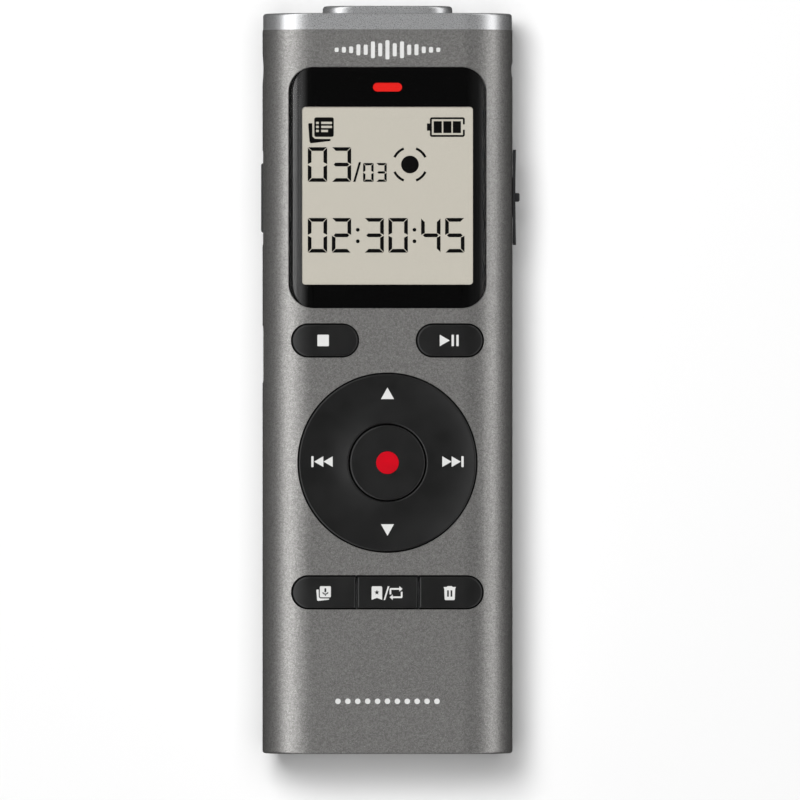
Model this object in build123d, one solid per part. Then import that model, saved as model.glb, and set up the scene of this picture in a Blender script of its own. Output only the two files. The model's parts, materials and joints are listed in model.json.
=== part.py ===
from build123d import *
import math
import os

# A handheld voice recorder, lying on its back. Millimetres.
# X runs across the body, Y along it towards the microphones, and Z up from the back face to the
# display. The origin is the centre of the flat back face.

# ---------------------------------------------------------------- body shell
BODY_W = 38.0  # across the widest plane
BODY_L = 112.3  # housings and top cap together
BODY_T = 19.0  # back face to front face
CROWN_Z = 10.8  # height of the widest plane, where the two housings part
CROWN_R = 21.8  # radius of the crowned sides
FRONT_ROUND = 7.5  # long edges of the front
BACK_ROUND = 6.5  # long edges of the back
END_ROUND = 0.4  # edges of the end faces
SIDE_WALL = 1.5
FRONT_WALL = 1.8
PARTING_GAP = 0.1  # reveal line between the two housings
GAP = 0.1  # clearance between fixed pieces that seat in each other
SNUG = 0.02  # clearance of a close fit, such as a glued sheet or an inlay

# ---------------------------------------------------------------- top cap and microphones
CAP_L = 2.49
CAP_INSET = 0.1  # the cap's outline is this much inside the body's
LIP_L = 1.6  # the cap's lip that reaches into the housings
LIP_T = 0.9
BEZEL_W = 19.7  # oval ring around the microphone grille
BEZEL_H = 9.0
BEZEL_PROUD = 1.2  # above the cap
BEZEL_SEAT = 0.75  # sunk into the cap
BEZEL_ROUND = 0.5
BEZEL_RIM = 1.6  # width of the visible ring
GRILLE_LEDGE = 0.5  # how far the grille reaches under the ring
GRILLE_T = 0.45
GRILLE_HOLE_R = 0.35
GRILLE_PITCH = 1.15
GRILLE_EDGE = 0.3  # solid rim between the last holes and the ring
GRILLE_DROP = 0.7  # the plate's face below the ring's
MIC_Z = 9.5
MIC_X = 6.0  # each side of the middle
MIC_R = 3.0
MIC_L = 2.3
BOOT_WALL = 0.35
BOOT_L = 2.9
MIC_BOSS_WALL = 0.45
MIC_LEAD_IN = 2.15  # the middle of a capsule's two wires, inwards from its centre
MIC_LEAD_PITCH = 0.9
MIC_LEAD_LAND = 1.6  # where the wires meet the board, from its end
MIC_LEAD_BEND = 1.2
SOUND_HOLE_R = 1.5

# ---------------------------------------------------------------- display
WINDOW_W = 29.9
WINDOW_H = 36.5
WINDOW_ROUND = 3.8
WINDOW_DROP = 26.47  # centre of the window below the top end
LENS_SINK = 0.04  # the lens lies this much below the body's face
LENS_T = 0.8
MASK_T = 0.1
WINDOW_GAP = 0.08
SCREEN_W = 25.9  # opening in the black mask
SCREEN_H = 26.96
SCREEN_ROUND = 0.5
SCREEN_DROP = 27.68
PANEL_MARGIN = 0.4  # the glass panel is larger than the opening all round
PANEL_GAP = 0.09  # below the mask, at the panel's long edges
PANEL_T = 0.9
LIGHT_T = 1.5  # light guide behind the panel
FRAME_WALL = 0.65
FRAME_FLOOR = 0.7
FRAME_FOOT_R = 1.0
FLEX_W = 14.0
FLEX_T = 0.15
FLEX_LAND = 1.4  # length soldered to the board
LED_DROP = 11.23
LED_W = 4.42
LED_H = 1.33
LED_FLANGE = 0.4
LED_FLANGE_T = 0.5
LED_CHIP_L = 1.6
LED_CHIP_W = 0.8
LED_CHIP_H = 0.65
LED_CHIP_GAP = 0.15  # between the chip and the light pipe

# ---------------------------------------------------------------- keys
KEY_GAP = 0.22  # between a key and the edge of its hole
KEY_PROUD = 0.25
KEY_TRAVEL = 0.4
KEY_ROUND = 0.3
FLANGE = 0.5  # how far a key's flange reaches under the wall
FLANGE_T = 0.6
PUSHER_R = 1.0
SIDE_HOLE_W = 10.38  # stop and play holes
KEY_HOLE_H = 5.21
SIDE_HOLE_X = 9.46
SIDE_HOLE_DROP = 49.63
ROW_W = 29.24  # the three keys that share one hole
ROW_DROP = 87.79
ROW_SPLIT_X = 4.71
ROW_SPLIT_GAP = 0.25
ROW_PUSHER_X = 9.5
NAV_D = 27.35  # round hole for the ring
NAV_DROP = 68.15
NAV_RIM_PROUD = 0.15
NAV_DISH = 0.42  # depth of the ring's hollow
NAV_FLANGE_DROP = 3.3  # underside of the ring's flange, below the front
NAV_FLANGE_T = 0.5
NAV_RIM_T = 1.1  # wall of the hollow ring
NAV_SOFT = 0.25  # rounding of the ring's two upper edges
NAV_PAD_GAP = 0.3  # between the rocker ring and the hollow's wall
RECORD_D = 11.44
RECORD_GAP = 0.18
RECORD_PROUD = 0.2
RECORD_FLANGE_DROP = 3.9
RECORD_FLANGE_T = 0.3
DOT_D = 3.45
DOT_DEPTH = 0.5
DOT_PROUD = 0.06
PAD_DROP = 4.0  # rocker ring under the nav ring
PAD_T = 0.3
PAD_PUSHER_GAP = 0.38  # between the rocker ring and the ring's pushers
PAD_RECORD_GAP = 0.5  # between the rocker ring and the record key's flange
MAT_RISE = 0.7  # above the board
MAT_T = 0.3
MAT_RIM = 0.8
MAT_INSET = 1.6  # from the board's long edges
MAT_BEYOND = 1.2  # past the keys' holes at both ends
MAT_ROUND = 2.0
MAT_HOLE_GAP = 0.35
MAT_POST_GAP = 0.3
DOME_R = 2.0
DOME_H = 0.25

# ---------------------------------------------------------------- batteries and door
CELL_R = 5.25
CELL_L = 44.5
CELL_EDGE = 0.4
NUB_R = 1.9
NUB_L = 0.8
CELL_GAP = 0.2  # around each cell
SPRING_L = 3.4
SPRING_R = 2.6
SPRING_WIRE_R = 0.25
SPRING_TURNS = 3.5
PAD_L = 1.1  # button that meets a cell's nub
PAD_R = 2.2
CONTACT_T = 0.3
CONTACT_W = 7.2  # side of the square contact plates
CONTACT_SIDE_GAP = 1.0  # between the long contact and the compartment's sides
TAB_LEG_W = 2.0
TUB_WALL = 1.2
ROOF_T = 0.5
DOOR_T = 1.2
DOOR_SINK = 0.05
DOOR_GAP = 0.1
DOOR_MARGIN = 1.0  # the door is wider than the compartment each side
DOOR_OVERLAP = 1.85  # and longer past its inner end
TONGUE = 0.8
TONGUE_T = 0.4
DOOR_LIP_T = 1.35
DOOR_LIP_H = 4.0
RIDGES = 5
RIDGE_PITCH = 1.6
RIDGE_DEPTH = 0.4
RIDGE_START = 4.0  # first ridge, from the compartment's outer end

# ---------------------------------------------------------------- board and its parts
PCB_T = 1.0
PCB_MARGIN = 2.4  # between the board's long edge and the body's widest plane
PCB_TOP_DROP = 6.65
PCB_END_GAP = 0.6
PCB_ROUND = 1.0
PCB_GAP = 0.2  # around what passes through the board or beside it
JACK_DROP = 8.45
JACK_BORE_R = 1.8
JACK_NECK_R = 2.5
JACK_W = 6.0
JACK_H = 4.7
JACK_L = 12.3
JACK_END_T = 1.0  # closed end of the bore
JACK_RECESS_R = 2.675
RECESS_DEPTH = 0.22
USB_DROP = 51.7
USB_W = 7.5
USB_H = 2.6
USB_L = 5.1
USB_WALL = 0.3
USB_CORNER = 0.7
USB_TONGUE_T = 0.6
USB_TONGUE_SINK = 0.8  # behind the socket's mouth
USB_TONGUE_GAP = 0.9  # on both sides
USB_RECESS_W = 8.75
USB_RECESS_H = 4.8
USB_RECESS_ROUND = 1.0
STRAP_DROP = 8.55
STRAP_W = 2.15
STRAP_H = 5.0
STRAP_DEPTH = 2.5
STRAP_WALL = 0.8
STRAP_PIN_R = 0.45
STRAP_PIN_SINK = 0.35  # behind the side's face
SIDE_KEY_DROP = 27.95
SIDE_KEY_L = 10.5
SIDE_KEY_H = 3.2
SIDE_KEY_PROUD = 0.2
SIDE_KEY_TRAVEL = 0.3
SCOOP_L = 14.3
SCOOP_DEPTH = 0.1
SLIDER_DROP = 27.85
SLIDER_L = 14.46
SLIDER_H = 3.4
SLIDER_ROUND = 0.8
SLIDER_PROUD = 0.53
SLIDER_DISH = 0.1
SLIDER_TRAVEL = 2.0
STEM_L = 6.0
STEM_H = 1.4
FOOT_H = 2.6
NUB_RIB_L = 1.3
NUB_RIB_H = 2.4
NUB_RIB_PROUD = 1.07
NUB_RIB_ROUND = 0.25
SWITCH_L = 7.5
SWITCH_D = 2.8
SWITCH_H = 2.8
SWITCH_DROP = 0.4  # the lever's height, below the switch's middle at the least
LEVER_W = 1.0
LEVER_H = 1.0
LEVER_IN = 0.4  # inside the switch's window
SIDE_SWITCH_L = 4.6
PLUNGER_L = 2.0
PLUNGER_H = 1.4
PLUNGER_REACH = 0.5
SPEAKER_DROP = 25.15
SPEAKER_R = 10.0
GASKET_T = 0.4
BASKET_T = 2.6
BASKET_WALL = 0.8
BASKET_BACK_T = 0.5
BASKET_WINDOW_R = 1.3
BASKET_WINDOW_RING = 7.2
CONE_T = 0.25
CONE_GAP = 0.1  # inside the basket's wall
CONE_RISE = 0.26  # the surround's seat, above the basket's rim
DOME_CAP_R = 3.2  # domed middle of the cone
SPEAKER_LEAD_X = 1.5
SPEAKER_LEAD_IN = 1.2  # from the basket's edge
SPEAKER_LEAD_STEP = (2.0, 1.5)
SPEAKER_LEAD_BEND = 1.8
MAGNET_R = 5.0
MAGNET_T = 1.6
MAGNET_EDGE = 0.4
SPEAKER_RING_WALL = 0.75
SLOT_W = 0.9
SLOT_PITCH = 2.0
SLOT_FIELD_R = 8.0
GASKET_WIDER = 0.4  # the gasket's hole is this much outside the slots' field
SCREW_INSET = 4.1  # from the widest plane
SCREW_DROP = 58.55
SCREW_RISE = 6.15  # the lower pair, above the bottom end
SCREW_R = 0.85
SCREW_HEAD_R = 1.45
SCREW_HEAD_T = 1.0
SCREW_HEAD_Z = 6.5
SCREW_L = 8.0
SCREW_TIP_GAP = 0.5
BOSS_R = 2.3
FRONT_BOSS_R = 2.0
BOARD_SCREW_INSET = 4.0
BOARD_SCREW_DROP = 80.65
TOP_SCREW_X = 8.0
TOP_SCREW_DROP = 8.95
POST_R = 1.2
BOARD_SCREW_R = 0.6
BOARD_HEAD_R = 1.25
BOARD_HEAD_T = 0.7
BOARD_SCREW_L = 2.4
WIRE_R = 0.3
CROSS_REACH = 0.65  # a screw's cross recess, as shares of its head's radius
CROSS_HALF_W = 0.14

# ---------------------------------------------------------------- chips, under the board
PROCESSOR = (10.0, 10.0, 1.1)
PROCESSOR_PLACE = (-3.0, -12.0)  # X, and Y from the speaker's middle
MEMORY = (8.0, 11.0, 1.0)
MEMORY_PLACE = (8.0, -13.5)
CRYSTAL_L = 6.0
CRYSTAL_W = 2.4
CRYSTAL_H = 1.6
CRYSTAL_EDGE = 0.3
CRYSTAL_PLACE = (-5.0, 2.0)
PASSIVE = (1.6, 0.8, 0.5)
PASSIVE_PITCH = (3.6, 2.2)
PASSIVE_PLACE = (-5.7, -3.6)  # the first of their rows
PASSIVE_COLUMNS = 4
PASSIVE_ROWS = 3

# ---------------------------------------------------------------- places worked out from the above
TOP = BODY_L / 2
BOTTOM = -BODY_L / 2
SEAM = TOP - CAP_L
CEILING = BODY_T - FRONT_WALL  # inside of the front wall
WALL_X = BODY_W / 2 - SIDE_WALL  # inside of a side wall at the widest plane

WINDOW_Y = TOP - WINDOW_DROP
SCREEN_Y = TOP - SCREEN_DROP
LED_Y = TOP - LED_DROP
SIDE_HOLE_Y = TOP - SIDE_HOLE_DROP
NAV_Y = TOP - NAV_DROP
ROW_Y = TOP - ROW_DROP
JACK_Y = TOP - JACK_DROP
USB_Y = TOP - USB_DROP
STRAP_Y = TOP - STRAP_DROP
SIDE_KEY_Y = TOP - SIDE_KEY_DROP
SLIDER_Y = TOP - SLIDER_DROP
SPEAKER_Y = TOP - SPEAKER_DROP

CELL_X = CELL_R + CELL_GAP
CELL_Z = DOOR_SINK + DOOR_T + GAP / 2 + GAP + CELL_R
TUB_X = CELL_X + CELL_R + CELL_GAP
TUB_Y0 = BOTTOM + SIDE_WALL
TUB_Y1 = TUB_Y0 + CELL_L + SPRING_L + PAD_L + 2 * CONTACT_T + 2 * GAP
ROOF_Z = CELL_Z + CELL_R + GAP
DOOR_X = TUB_X + DOOR_MARGIN
DOOR_Y1 = TUB_Y1 + DOOR_OVERLAP

PCB_Z = max(ROOF_Z + ROOF_T + GAP, CROWN_Z + SWITCH_H / 2 + SWITCH_DROP)
PCB_TOP = PCB_Z + PCB_T
PCB_X = BODY_W / 2 - PCB_MARGIN
PCB_Y0 = BOTTOM + SIDE_WALL + PCB_END_GAP
PCB_Y1 = TOP - PCB_TOP_DROP
PUSHER_Z = PCB_TOP + DOME_H + KEY_TRAVEL + GAP / 2
FLANGE_Z = CEILING - GAP - FLANGE_T
MAT_Z = PCB_TOP + MAT_RISE
SPEAKER_Z = SIDE_WALL + GASKET_T + 2 * SNUG  # rim of the speaker's basket
SPEAKER_BACK_Z = SPEAKER_Z + BASKET_T

# The panel lies under the window, which is lowest above the panel's long edges.
ROUND_Z = BODY_T - FRONT_ROUND
FLAT_X = BODY_W / 2 - CROWN_R + math.sqrt((CROWN_R - FRONT_ROUND) ** 2 - (ROUND_Z - CROWN_Z) ** 2)
WINDOW_BACK = LENS_SINK + LENS_T + MASK_T
PANEL_PAST_FLAT = max(0.0, SCREEN_W / 2 + PANEL_MARGIN - FLAT_X)
PANEL_Z = ROUND_Z + math.sqrt((FRONT_ROUND - WINDOW_BACK) ** 2 - PANEL_PAST_FLAT**2) - PANEL_GAP
PANEL_END_Y = SCREEN_Y - SCREEN_H / 2 - PANEL_MARGIN  # the panel's lower edge
FLEX_Y = PANEL_END_Y - FRAME_WALL - 3 * GAP - FLEX_T
FLEX_Z = PANEL_Z - PANEL_T + FLEX_T + GAP

NAV_OUT_R = NAV_D / 2 - KEY_GAP
NAV_IN_R = RECORD_D / 2 + RECORD_GAP
NAV_PUSHER_R = (NAV_IN_R + NAV_OUT_R) / 2
NAV_RIM_Z = BODY_T + NAV_RIM_PROUD
NAV_FLANGE_Z = BODY_T - NAV_FLANGE_DROP
RECORD_Z = BODY_T + RECORD_PROUD
RECORD_FLANGE_Z = BODY_T - RECORD_FLANGE_DROP
PAD_Z = BODY_T - PAD_DROP
PAD_OUT_R = NAV_PUSHER_R - PUSHER_R - PAD_PUSHER_GAP
PAD_IN_R = (NAV_IN_R + PAD_OUT_R) / 2

JACK_Z = PCB_Z - JACK_H / 2
USB_Z = PCB_Z - USB_H / 2
SCREW_X = BODY_W / 2 - SCREW_INSET
SCREW_YS = (TOP - SCREW_DROP, BOTTOM + SCREW_RISE)
BOARD_SCREW_X = BODY_W / 2 - BOARD_SCREW_INSET
BOARD_SCREWS = (
    (-BOARD_SCREW_X, TOP - BOARD_SCREW_DROP),
    (BOARD_SCREW_X, TOP - BOARD_SCREW_DROP),
    (TOP_SCREW_X, TOP - TOP_SCREW_DROP),
)
FLANGE_X = WALL_X - GAP  # outer face of the inner flanges of the side key and the slider
FLANGE_DEPTH = 0.5


# ---------------------------------------------------------------- shapes used by several pieces
def half_width(z):
    """Half the body's width at height z, before the long edges are rounded."""
    return BODY_W / 2 - CROWN_R + math.sqrt(CROWN_R**2 - (z - CROWN_Z) ** 2)


def section(grow=0.0):
    """The body's cross-section, grown all round, in local X-Y (world X-Z)."""
    back_x = half_width(0)
    front_x = half_width(BODY_T)
    outline = [
        Line((-back_x, 0), (back_x, 0)),
        ThreePointArc((back_x, 0), (BODY_W / 2, CROWN_Z), (front_x, BODY_T)),
        Line((front_x, BODY_T), (-front_x, BODY_T)),
        ThreePointArc((-front_x, BODY_T), (-BODY_W / 2, CROWN_Z), (-back_x, 0)),
    ]
    face = make_face(outline)
    face = fillet(face.vertices().sort_by(Axis.Y)[:2], BACK_ROUND)
    face = fillet(face.vertices().sort_by(Axis.Y)[-2:], FRONT_ROUND)
    return offset(face, grow) if grow else face


def along_y(sketch, y0, y1):
    return extrude(Plane.XZ.offset(-y1) * sketch, y1 - y0)


def along_x(sketch, x0, x1):
    return extrude(Plane.YZ.offset(x0) * sketch, x1 - x0)


def prism(outline, x, y, z0, z1):
    return Pos(x, y, z0) * extrude(outline, z1 - z0)


def block(x0, x1, y0, y1, z0, z1):
    middle = Pos((x0 + x1) / 2, (y0 + y1) / 2, (z0 + z1) / 2)
    return middle * Box(x1 - x0, y1 - y0, z1 - z0)


def rod_x(r, x0, x1, y, z):
    return Pos((x0 + x1) / 2, y, z) * Rot(0, 90, 0) * Cylinder(r, x1 - x0)


def rod_y(r, x, y0, y1, z):
    return Pos(x, (y0 + y1) / 2, z) * Rot(90, 0, 0) * Cylinder(r, y1 - y0)


def rod_z(r, x, y, z0, z1):
    return Pos(x, y, (z0 + z1) / 2) * Cylinder(r, z1 - z0)


def envelope(grow=0.0, y0=BOTTOM, y1=TOP):
    return along_y(section(grow), y0, y1)


def cavity_section(inset=0.0):
    """The hollow inside the housings, or a piece that fills it less a clearance."""
    room = Pos(0, CEILING / 2 - inset) * Rectangle(BODY_W, CEILING)
    return section(-SIDE_WALL - inset) & room


def plate_under_face(outline, y, depth, thickness):
    """A plate of even thickness that follows the front face, its top this far below it."""
    column = prism(outline, 0, y, CROWN_Z, BODY_T + 1)
    skin = envelope(-depth) - envelope(-depth - thickness)
    return column & skin


def both_sides(xs):
    return [sign * x for x in xs for sign in (-1, 1)]


def screw_places():
    return [(x, y) for y in SCREW_YS for x in (-SCREW_X, SCREW_X)]


def dome_places():
    """The centres of the dome switches, one under each pusher."""
    keys = [(-SIDE_HOLE_X, SIDE_HOLE_Y), (SIDE_HOLE_X, SIDE_HOLE_Y)]
    row = [(x, ROW_Y) for x in (-ROW_PUSHER_X, 0, ROW_PUSHER_X)]
    return keys + row + [(0, NAV_Y)] + nav_pusher_places()


def nav_pusher_places():
    r = NAV_PUSHER_R
    return [(r, NAV_Y), (0, NAV_Y + r), (-r, NAV_Y), (0, NAV_Y - r)]


# ---------------------------------------------------------------- housings
def shell():
    """Both housings as one hollow body, open at the cap's end."""
    outside = envelope(0, BOTTOM, SEAM)
    outside = fillet(outside.faces().sort_by(Axis.Y)[0].edges(), END_ROUND)
    return outside - along_y(cavity_section(), BOTTOM + SIDE_WALL, SEAM + 1)


def strap_block():
    """The walls around the strap pocket, one half in each housing."""
    half_y = STRAP_W / 2 + STRAP_WALL
    half_z = STRAP_H / 2 + STRAP_WALL
    x0 = BODY_W / 2 - STRAP_DEPTH - STRAP_WALL
    solid = block(x0, BODY_W, STRAP_Y - half_y, STRAP_Y + half_y, CROWN_Z - half_z, CROWN_Z + half_z)
    return solid & envelope(-SIDE_WALL / 2)


def side_cuts():
    """Everything cut through or into the sides, across both housings."""
    out = BODY_W / 2 + 2
    recess_x = BODY_W / 2 - RECESS_DEPTH
    half_key_y = SIDE_KEY_L / 2 + KEY_GAP / 2
    half_key_z = SIDE_KEY_H / 2 + KEY_GAP / 2
    slot_y = STEM_L / 2 + SLIDER_TRAVEL + 2 * GAP
    slot_z = STEM_H / 2 + GAP
    strap_x = BODY_W / 2 - STRAP_DEPTH
    usb_hole = Rectangle(USB_W + 2 * GAP, USB_H + 2 * GAP)
    usb_recess = RectangleRounded(USB_RECESS_W, USB_RECESS_H, USB_RECESS_ROUND)
    strap_hole = RectangleRounded(STRAP_W, STRAP_H, STRAP_W / 2 - GAP)
    pin_z = STRAP_H / 2 + STRAP_WALL / 2
    return (
        rod_x(JACK_NECK_R + GAP, -out, -WALL_X + 1, JACK_Y, JACK_Z)
        + rod_x(JACK_RECESS_R, -out, -recess_x, JACK_Y, JACK_Z)
        + along_x(Pos(USB_Y, USB_Z) * usb_hole, -out, -WALL_X + 1)
        + along_x(Pos(USB_Y, USB_Z) * usb_recess, -out, -recess_x)
        + block(-out, -WALL_X + 1, SIDE_KEY_Y - half_key_y, SIDE_KEY_Y + half_key_y,
                CROWN_Z - half_key_z, CROWN_Z + half_key_z)
        + block(-out, -BODY_W / 2 + SCOOP_DEPTH, SIDE_KEY_Y - SCOOP_L / 2, SIDE_KEY_Y + SCOOP_L / 2,
                0, BODY_T)
        + block(WALL_X - 1, out, SLIDER_Y - slot_y, SLIDER_Y + slot_y,
                CROWN_Z - slot_z, CROWN_Z + slot_z)
        + along_x(Pos(STRAP_Y, CROWN_Z) * strap_hole, strap_x, out)
        + rod_z(STRAP_PIN_R + GAP / 2, strap_pin_x(), STRAP_Y, CROWN_Z - pin_z, CROWN_Z + pin_z)
    )


def strap_pin_x():
    return BODY_W / 2 - STRAP_PIN_R - STRAP_PIN_SINK


def front_housing():
    above = block(-BODY_W, BODY_W, BOTTOM - 1, TOP, CROWN_Z + PARTING_GAP / 2, BODY_T + 5)
    body = (shell() + strap_block()) & above
    ribs = [rod_z(FRONT_BOSS_R, x, y, CROWN_Z + PARTING_GAP / 2, BODY_T) for x, y in screw_places()]
    ribs += [rod_z(POST_R, x, y, PCB_TOP, BODY_T) for x, y in BOARD_SCREWS]
    inside = envelope(-SIDE_WALL / 2)
    for rib in ribs:
        body += rib & inside
    for x, y in screw_places():
        body -= rod_z(SCREW_R + SNUG, x, y, CROWN_Z, SCREW_HEAD_Z + SCREW_L + SCREW_TIP_GAP)
    for x, y in BOARD_SCREWS:
        body -= rod_z(BOARD_SCREW_R + SNUG, x, y, PCB_Z, PCB_Z + BOARD_SCREW_L + SCREW_TIP_GAP)
    recess = RectangleRounded(WINDOW_W + 2 * WINDOW_GAP, WINDOW_H + 2 * WINDOW_GAP, WINDOW_ROUND)
    body -= plate_under_face(recess, WINDOW_Y, -1, 1 + WINDOW_BACK + SNUG)
    body -= prism(panel_outline(GAP), 0, SCREEN_Y, CROWN_Z, BODY_T)
    flex_x = FLEX_W / 2 + GAP
    body -= block(-flex_x, flex_x, FLEX_Y - GAP, SCREEN_Y, CROWN_Z, FLEX_Z + GAP)
    body -= prism(SlotOverall(LED_W + 2 * GAP, LED_H + 2 * GAP), 0, LED_Y, CROWN_Z, BODY_T)
    key_hole = SlotOverall(SIDE_HOLE_W, KEY_HOLE_H)
    for x in (-SIDE_HOLE_X, SIDE_HOLE_X):
        body -= prism(key_hole, x, SIDE_HOLE_Y, FLANGE_Z, BODY_T + 1)
    body -= prism(SlotOverall(ROW_W, KEY_HOLE_H), 0, ROW_Y, FLANGE_Z, BODY_T + 1)
    body -= rod_z(NAV_D / 2, 0, NAV_Y, NAV_FLANGE_Z, BODY_T + 1)
    return body - side_cuts()


def rear_housing():
    parting = CROWN_Z - PARTING_GAP / 2
    below = block(-BODY_W, BODY_W, BOTTOM - 1, TOP, -1, parting)
    body = (shell() + strap_block()) & below
    inside = envelope(-SIDE_WALL / 2)
    tub_x = TUB_X + TUB_WALL
    body += block(-tub_x, tub_x, TUB_Y0 + GAP, DOOR_Y1 + TUB_WALL / 2, SIDE_WALL / 2, PCB_Z - GAP)
    for x, y in screw_places():
        body += rod_z(BOSS_R, x, y, 0, parting) & inside
    seat_r = SPEAKER_R + GAP
    body += rod_z(seat_r + SPEAKER_RING_WALL, 0, SPEAKER_Y, SIDE_WALL / 2, SIDE_WALL + BASKET_T)
    body -= rod_z(seat_r, 0, SPEAKER_Y, SIDE_WALL, CROWN_Z)
    body -= block(-TUB_X, TUB_X, TUB_Y0, TUB_Y1, -1, ROOF_Z)
    body -= door_seat()
    for x, y in screw_places():
        body -= rod_z(SCREW_HEAD_R + 2 * GAP, x, y, -1, SCREW_HEAD_Z)
        body -= rod_z(SCREW_R + GAP, x, y, 0, CROWN_Z)
    for x in (-CELL_X, CELL_X):
        body -= tab_leg(x, GAP)
    for slot in grille_slots():
        body -= slot
    return body - side_cuts()


def door_seat():
    """What the door slides out of: its plate, its two grooves and the notch for its lip."""
    y0 = BOTTOM - 1
    y1 = DOOR_Y1 + DOOR_GAP
    plate_x = DOOR_X + DOOR_GAP
    groove_x = DOOR_X + TONGUE + DOOR_GAP
    middle_z = DOOR_SINK + DOOR_T / 2
    groove_z = TONGUE_T / 2 + DOOR_GAP
    lip_z = DOOR_LIP_H + DOOR_GAP + DOOR_SINK
    return (
        block(-plate_x, plate_x, y0, y1, -1, DOOR_SINK + DOOR_T + DOOR_GAP)
        + block(-groove_x, groove_x, y0, y1, middle_z - groove_z, middle_z + groove_z)
        + block(-plate_x, plate_x, y0, TUB_Y0, -1, lip_z)
    )


def grille_slots():
    """Sound slots through the back, each as long as the round field allows."""
    count = int(SLOT_FIELD_R / SLOT_PITCH)
    slots = []
    for i in range(-count + 1, count):
        x = i * SLOT_PITCH
        length = 2 * math.sqrt(SLOT_FIELD_R**2 - x**2)
        slots.append(prism(SlotOverall(length, SLOT_W, rotation=90), x, SPEAKER_Y, -1, SIDE_WALL + 0.5))
    return slots


def battery_door():
    y0 = BOTTOM
    z1 = DOOR_SINK + DOOR_T
    middle_z = DOOR_SINK + DOOR_T / 2
    tongue_x = DOOR_X + TONGUE
    tongue_z = TONGUE_T / 2
    door = block(-DOOR_X, DOOR_X, y0, DOOR_Y1, DOOR_SINK, z1)
    door += block(-tongue_x, tongue_x, TUB_Y0, DOOR_Y1, middle_z - tongue_z, middle_z + tongue_z)
    door += block(-DOOR_X, DOOR_X, y0, y0 + DOOR_LIP_T, DOOR_SINK, DOOR_LIP_H)
    outer_edge = door.faces().sort_by(Axis.Y)[0].edges().sort_by(Axis.Z)[0]
    door = fillet(outer_edge, END_ROUND)
    for i in range(RIDGES):
        y = TUB_Y0 + RIDGE_START + i * RIDGE_PITCH
        groove = SlotOverall(DOOR_X, RIDGE_PITCH / 2)
        door -= prism(groove, 0, y, DOOR_SINK - 1, DOOR_SINK + RIDGE_DEPTH)
    return door


# ---------------------------------------------------------------- top cap and microphones
def top_cap():
    cap = envelope(-CAP_INSET, SEAM, TOP)
    cap = fillet(cap.faces().sort_by(Axis.Y)[-1].edges(), END_ROUND)
    lip = cavity_section(GAP) - cavity_section(GAP + LIP_T)
    cap += along_y(lip, SEAM - LIP_L, SEAM)
    boot_r = MIC_R + BOOT_WALL + GAP
    for x in (-MIC_X, MIC_X):
        cap += rod_y(boot_r + MIC_BOSS_WALL, x, SEAM - BOOT_L, SEAM, MIC_Z)
        cap -= rod_y(boot_r, x, SEAM - BOOT_L - 1, SEAM, MIC_Z)
        cap -= rod_y(SOUND_HOLE_R, x, SEAM - 1, TOP, MIC_Z)
    seat = Pos(0, MIC_Z) * SlotOverall(BEZEL_W + GAP, BEZEL_H + GAP)
    return cap - along_y(seat, TOP - BEZEL_SEAT, TOP + 1)


def mic_bezel():
    """Oval ring with a rounded outer edge and a step inside that holds the grille."""
    y0 = TOP - BEZEL_SEAT
    y1 = TOP + BEZEL_PROUD
    ring = along_y(Pos(0, MIC_Z) * SlotOverall(BEZEL_W, BEZEL_H), y0, y1)
    ring = fillet(ring.faces().sort_by(Axis.Y)[-1].edges(), BEZEL_ROUND)
    mouth = Pos(0, MIC_Z) * SlotOverall(BEZEL_W - 2 * BEZEL_RIM, BEZEL_H - 2 * BEZEL_RIM)
    step = Pos(0, MIC_Z) * grille_outline(GAP)
    return ring - along_y(mouth, y0, y1 + 1) - along_y(step, y0, grille_top())


def grille_outline(grow=0.0):
    width = BEZEL_W - 2 * BEZEL_RIM + 2 * GRILLE_LEDGE + 2 * grow
    height = BEZEL_H - 2 * BEZEL_RIM + 2 * GRILLE_LEDGE + 2 * grow
    return SlotOverall(width, height)


def grille_top():
    return TOP + BEZEL_PROUD - GRILLE_DROP


def mic_grille():
    """Perforated plate, its holes in staggered rows."""
    plate = Pos(0, MIC_Z) * grille_outline()
    row_pitch = GRILLE_PITCH * math.sqrt(3) / 2
    edge = BEZEL_RIM + GRILLE_HOLE_R + GRILLE_EDGE
    half_w = BEZEL_W / 2 - edge
    rows = int((BEZEL_H / 2 - edge) / row_pitch)
    columns = int(half_w / GRILLE_PITCH) + 1
    holes = []
    for row in range(-rows, rows + 1):
        z = row * row_pitch
        shift = GRILLE_PITCH / 2 if row % 2 else 0
        for i in range(-columns, columns + 1):
            x = i * GRILLE_PITCH + shift
            if abs(x) + abs(z) / 2 < half_w:
                holes.append(Pos(x, MIC_Z + z) * Circle(GRILLE_HOLE_R))
    return along_y(plate - holes, grille_top() - GRILLE_T, grille_top())


def mic_foam():
    """Black foam between the grille and the cap."""
    foam = Pos(0, MIC_Z) * grille_outline()
    return along_y(foam, TOP - BEZEL_SEAT + SNUG, grille_top() - GRILLE_T - SNUG)


def mic_capsules():
    front = SEAM - BOOT_WALL - GAP / 2
    return [rod_y(MIC_R, x, front - MIC_L, front, MIC_Z) for x in (-MIC_X, MIC_X)]


def mic_boots():
    front = SEAM - SNUG
    boots = []
    for x in (-MIC_X, MIC_X):
        boot = rod_y(MIC_R + BOOT_WALL, x, SEAM - BOOT_L + GAP, front, MIC_Z)
        boot -= rod_y(MIC_R + SNUG, x, SEAM - BOOT_L - 1, SEAM - BOOT_WALL, MIC_Z)
        boots.append(boot - rod_y(SOUND_HOLE_R, x, SEAM - 2, SEAM + 1, MIC_Z))
    return boots


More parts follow.
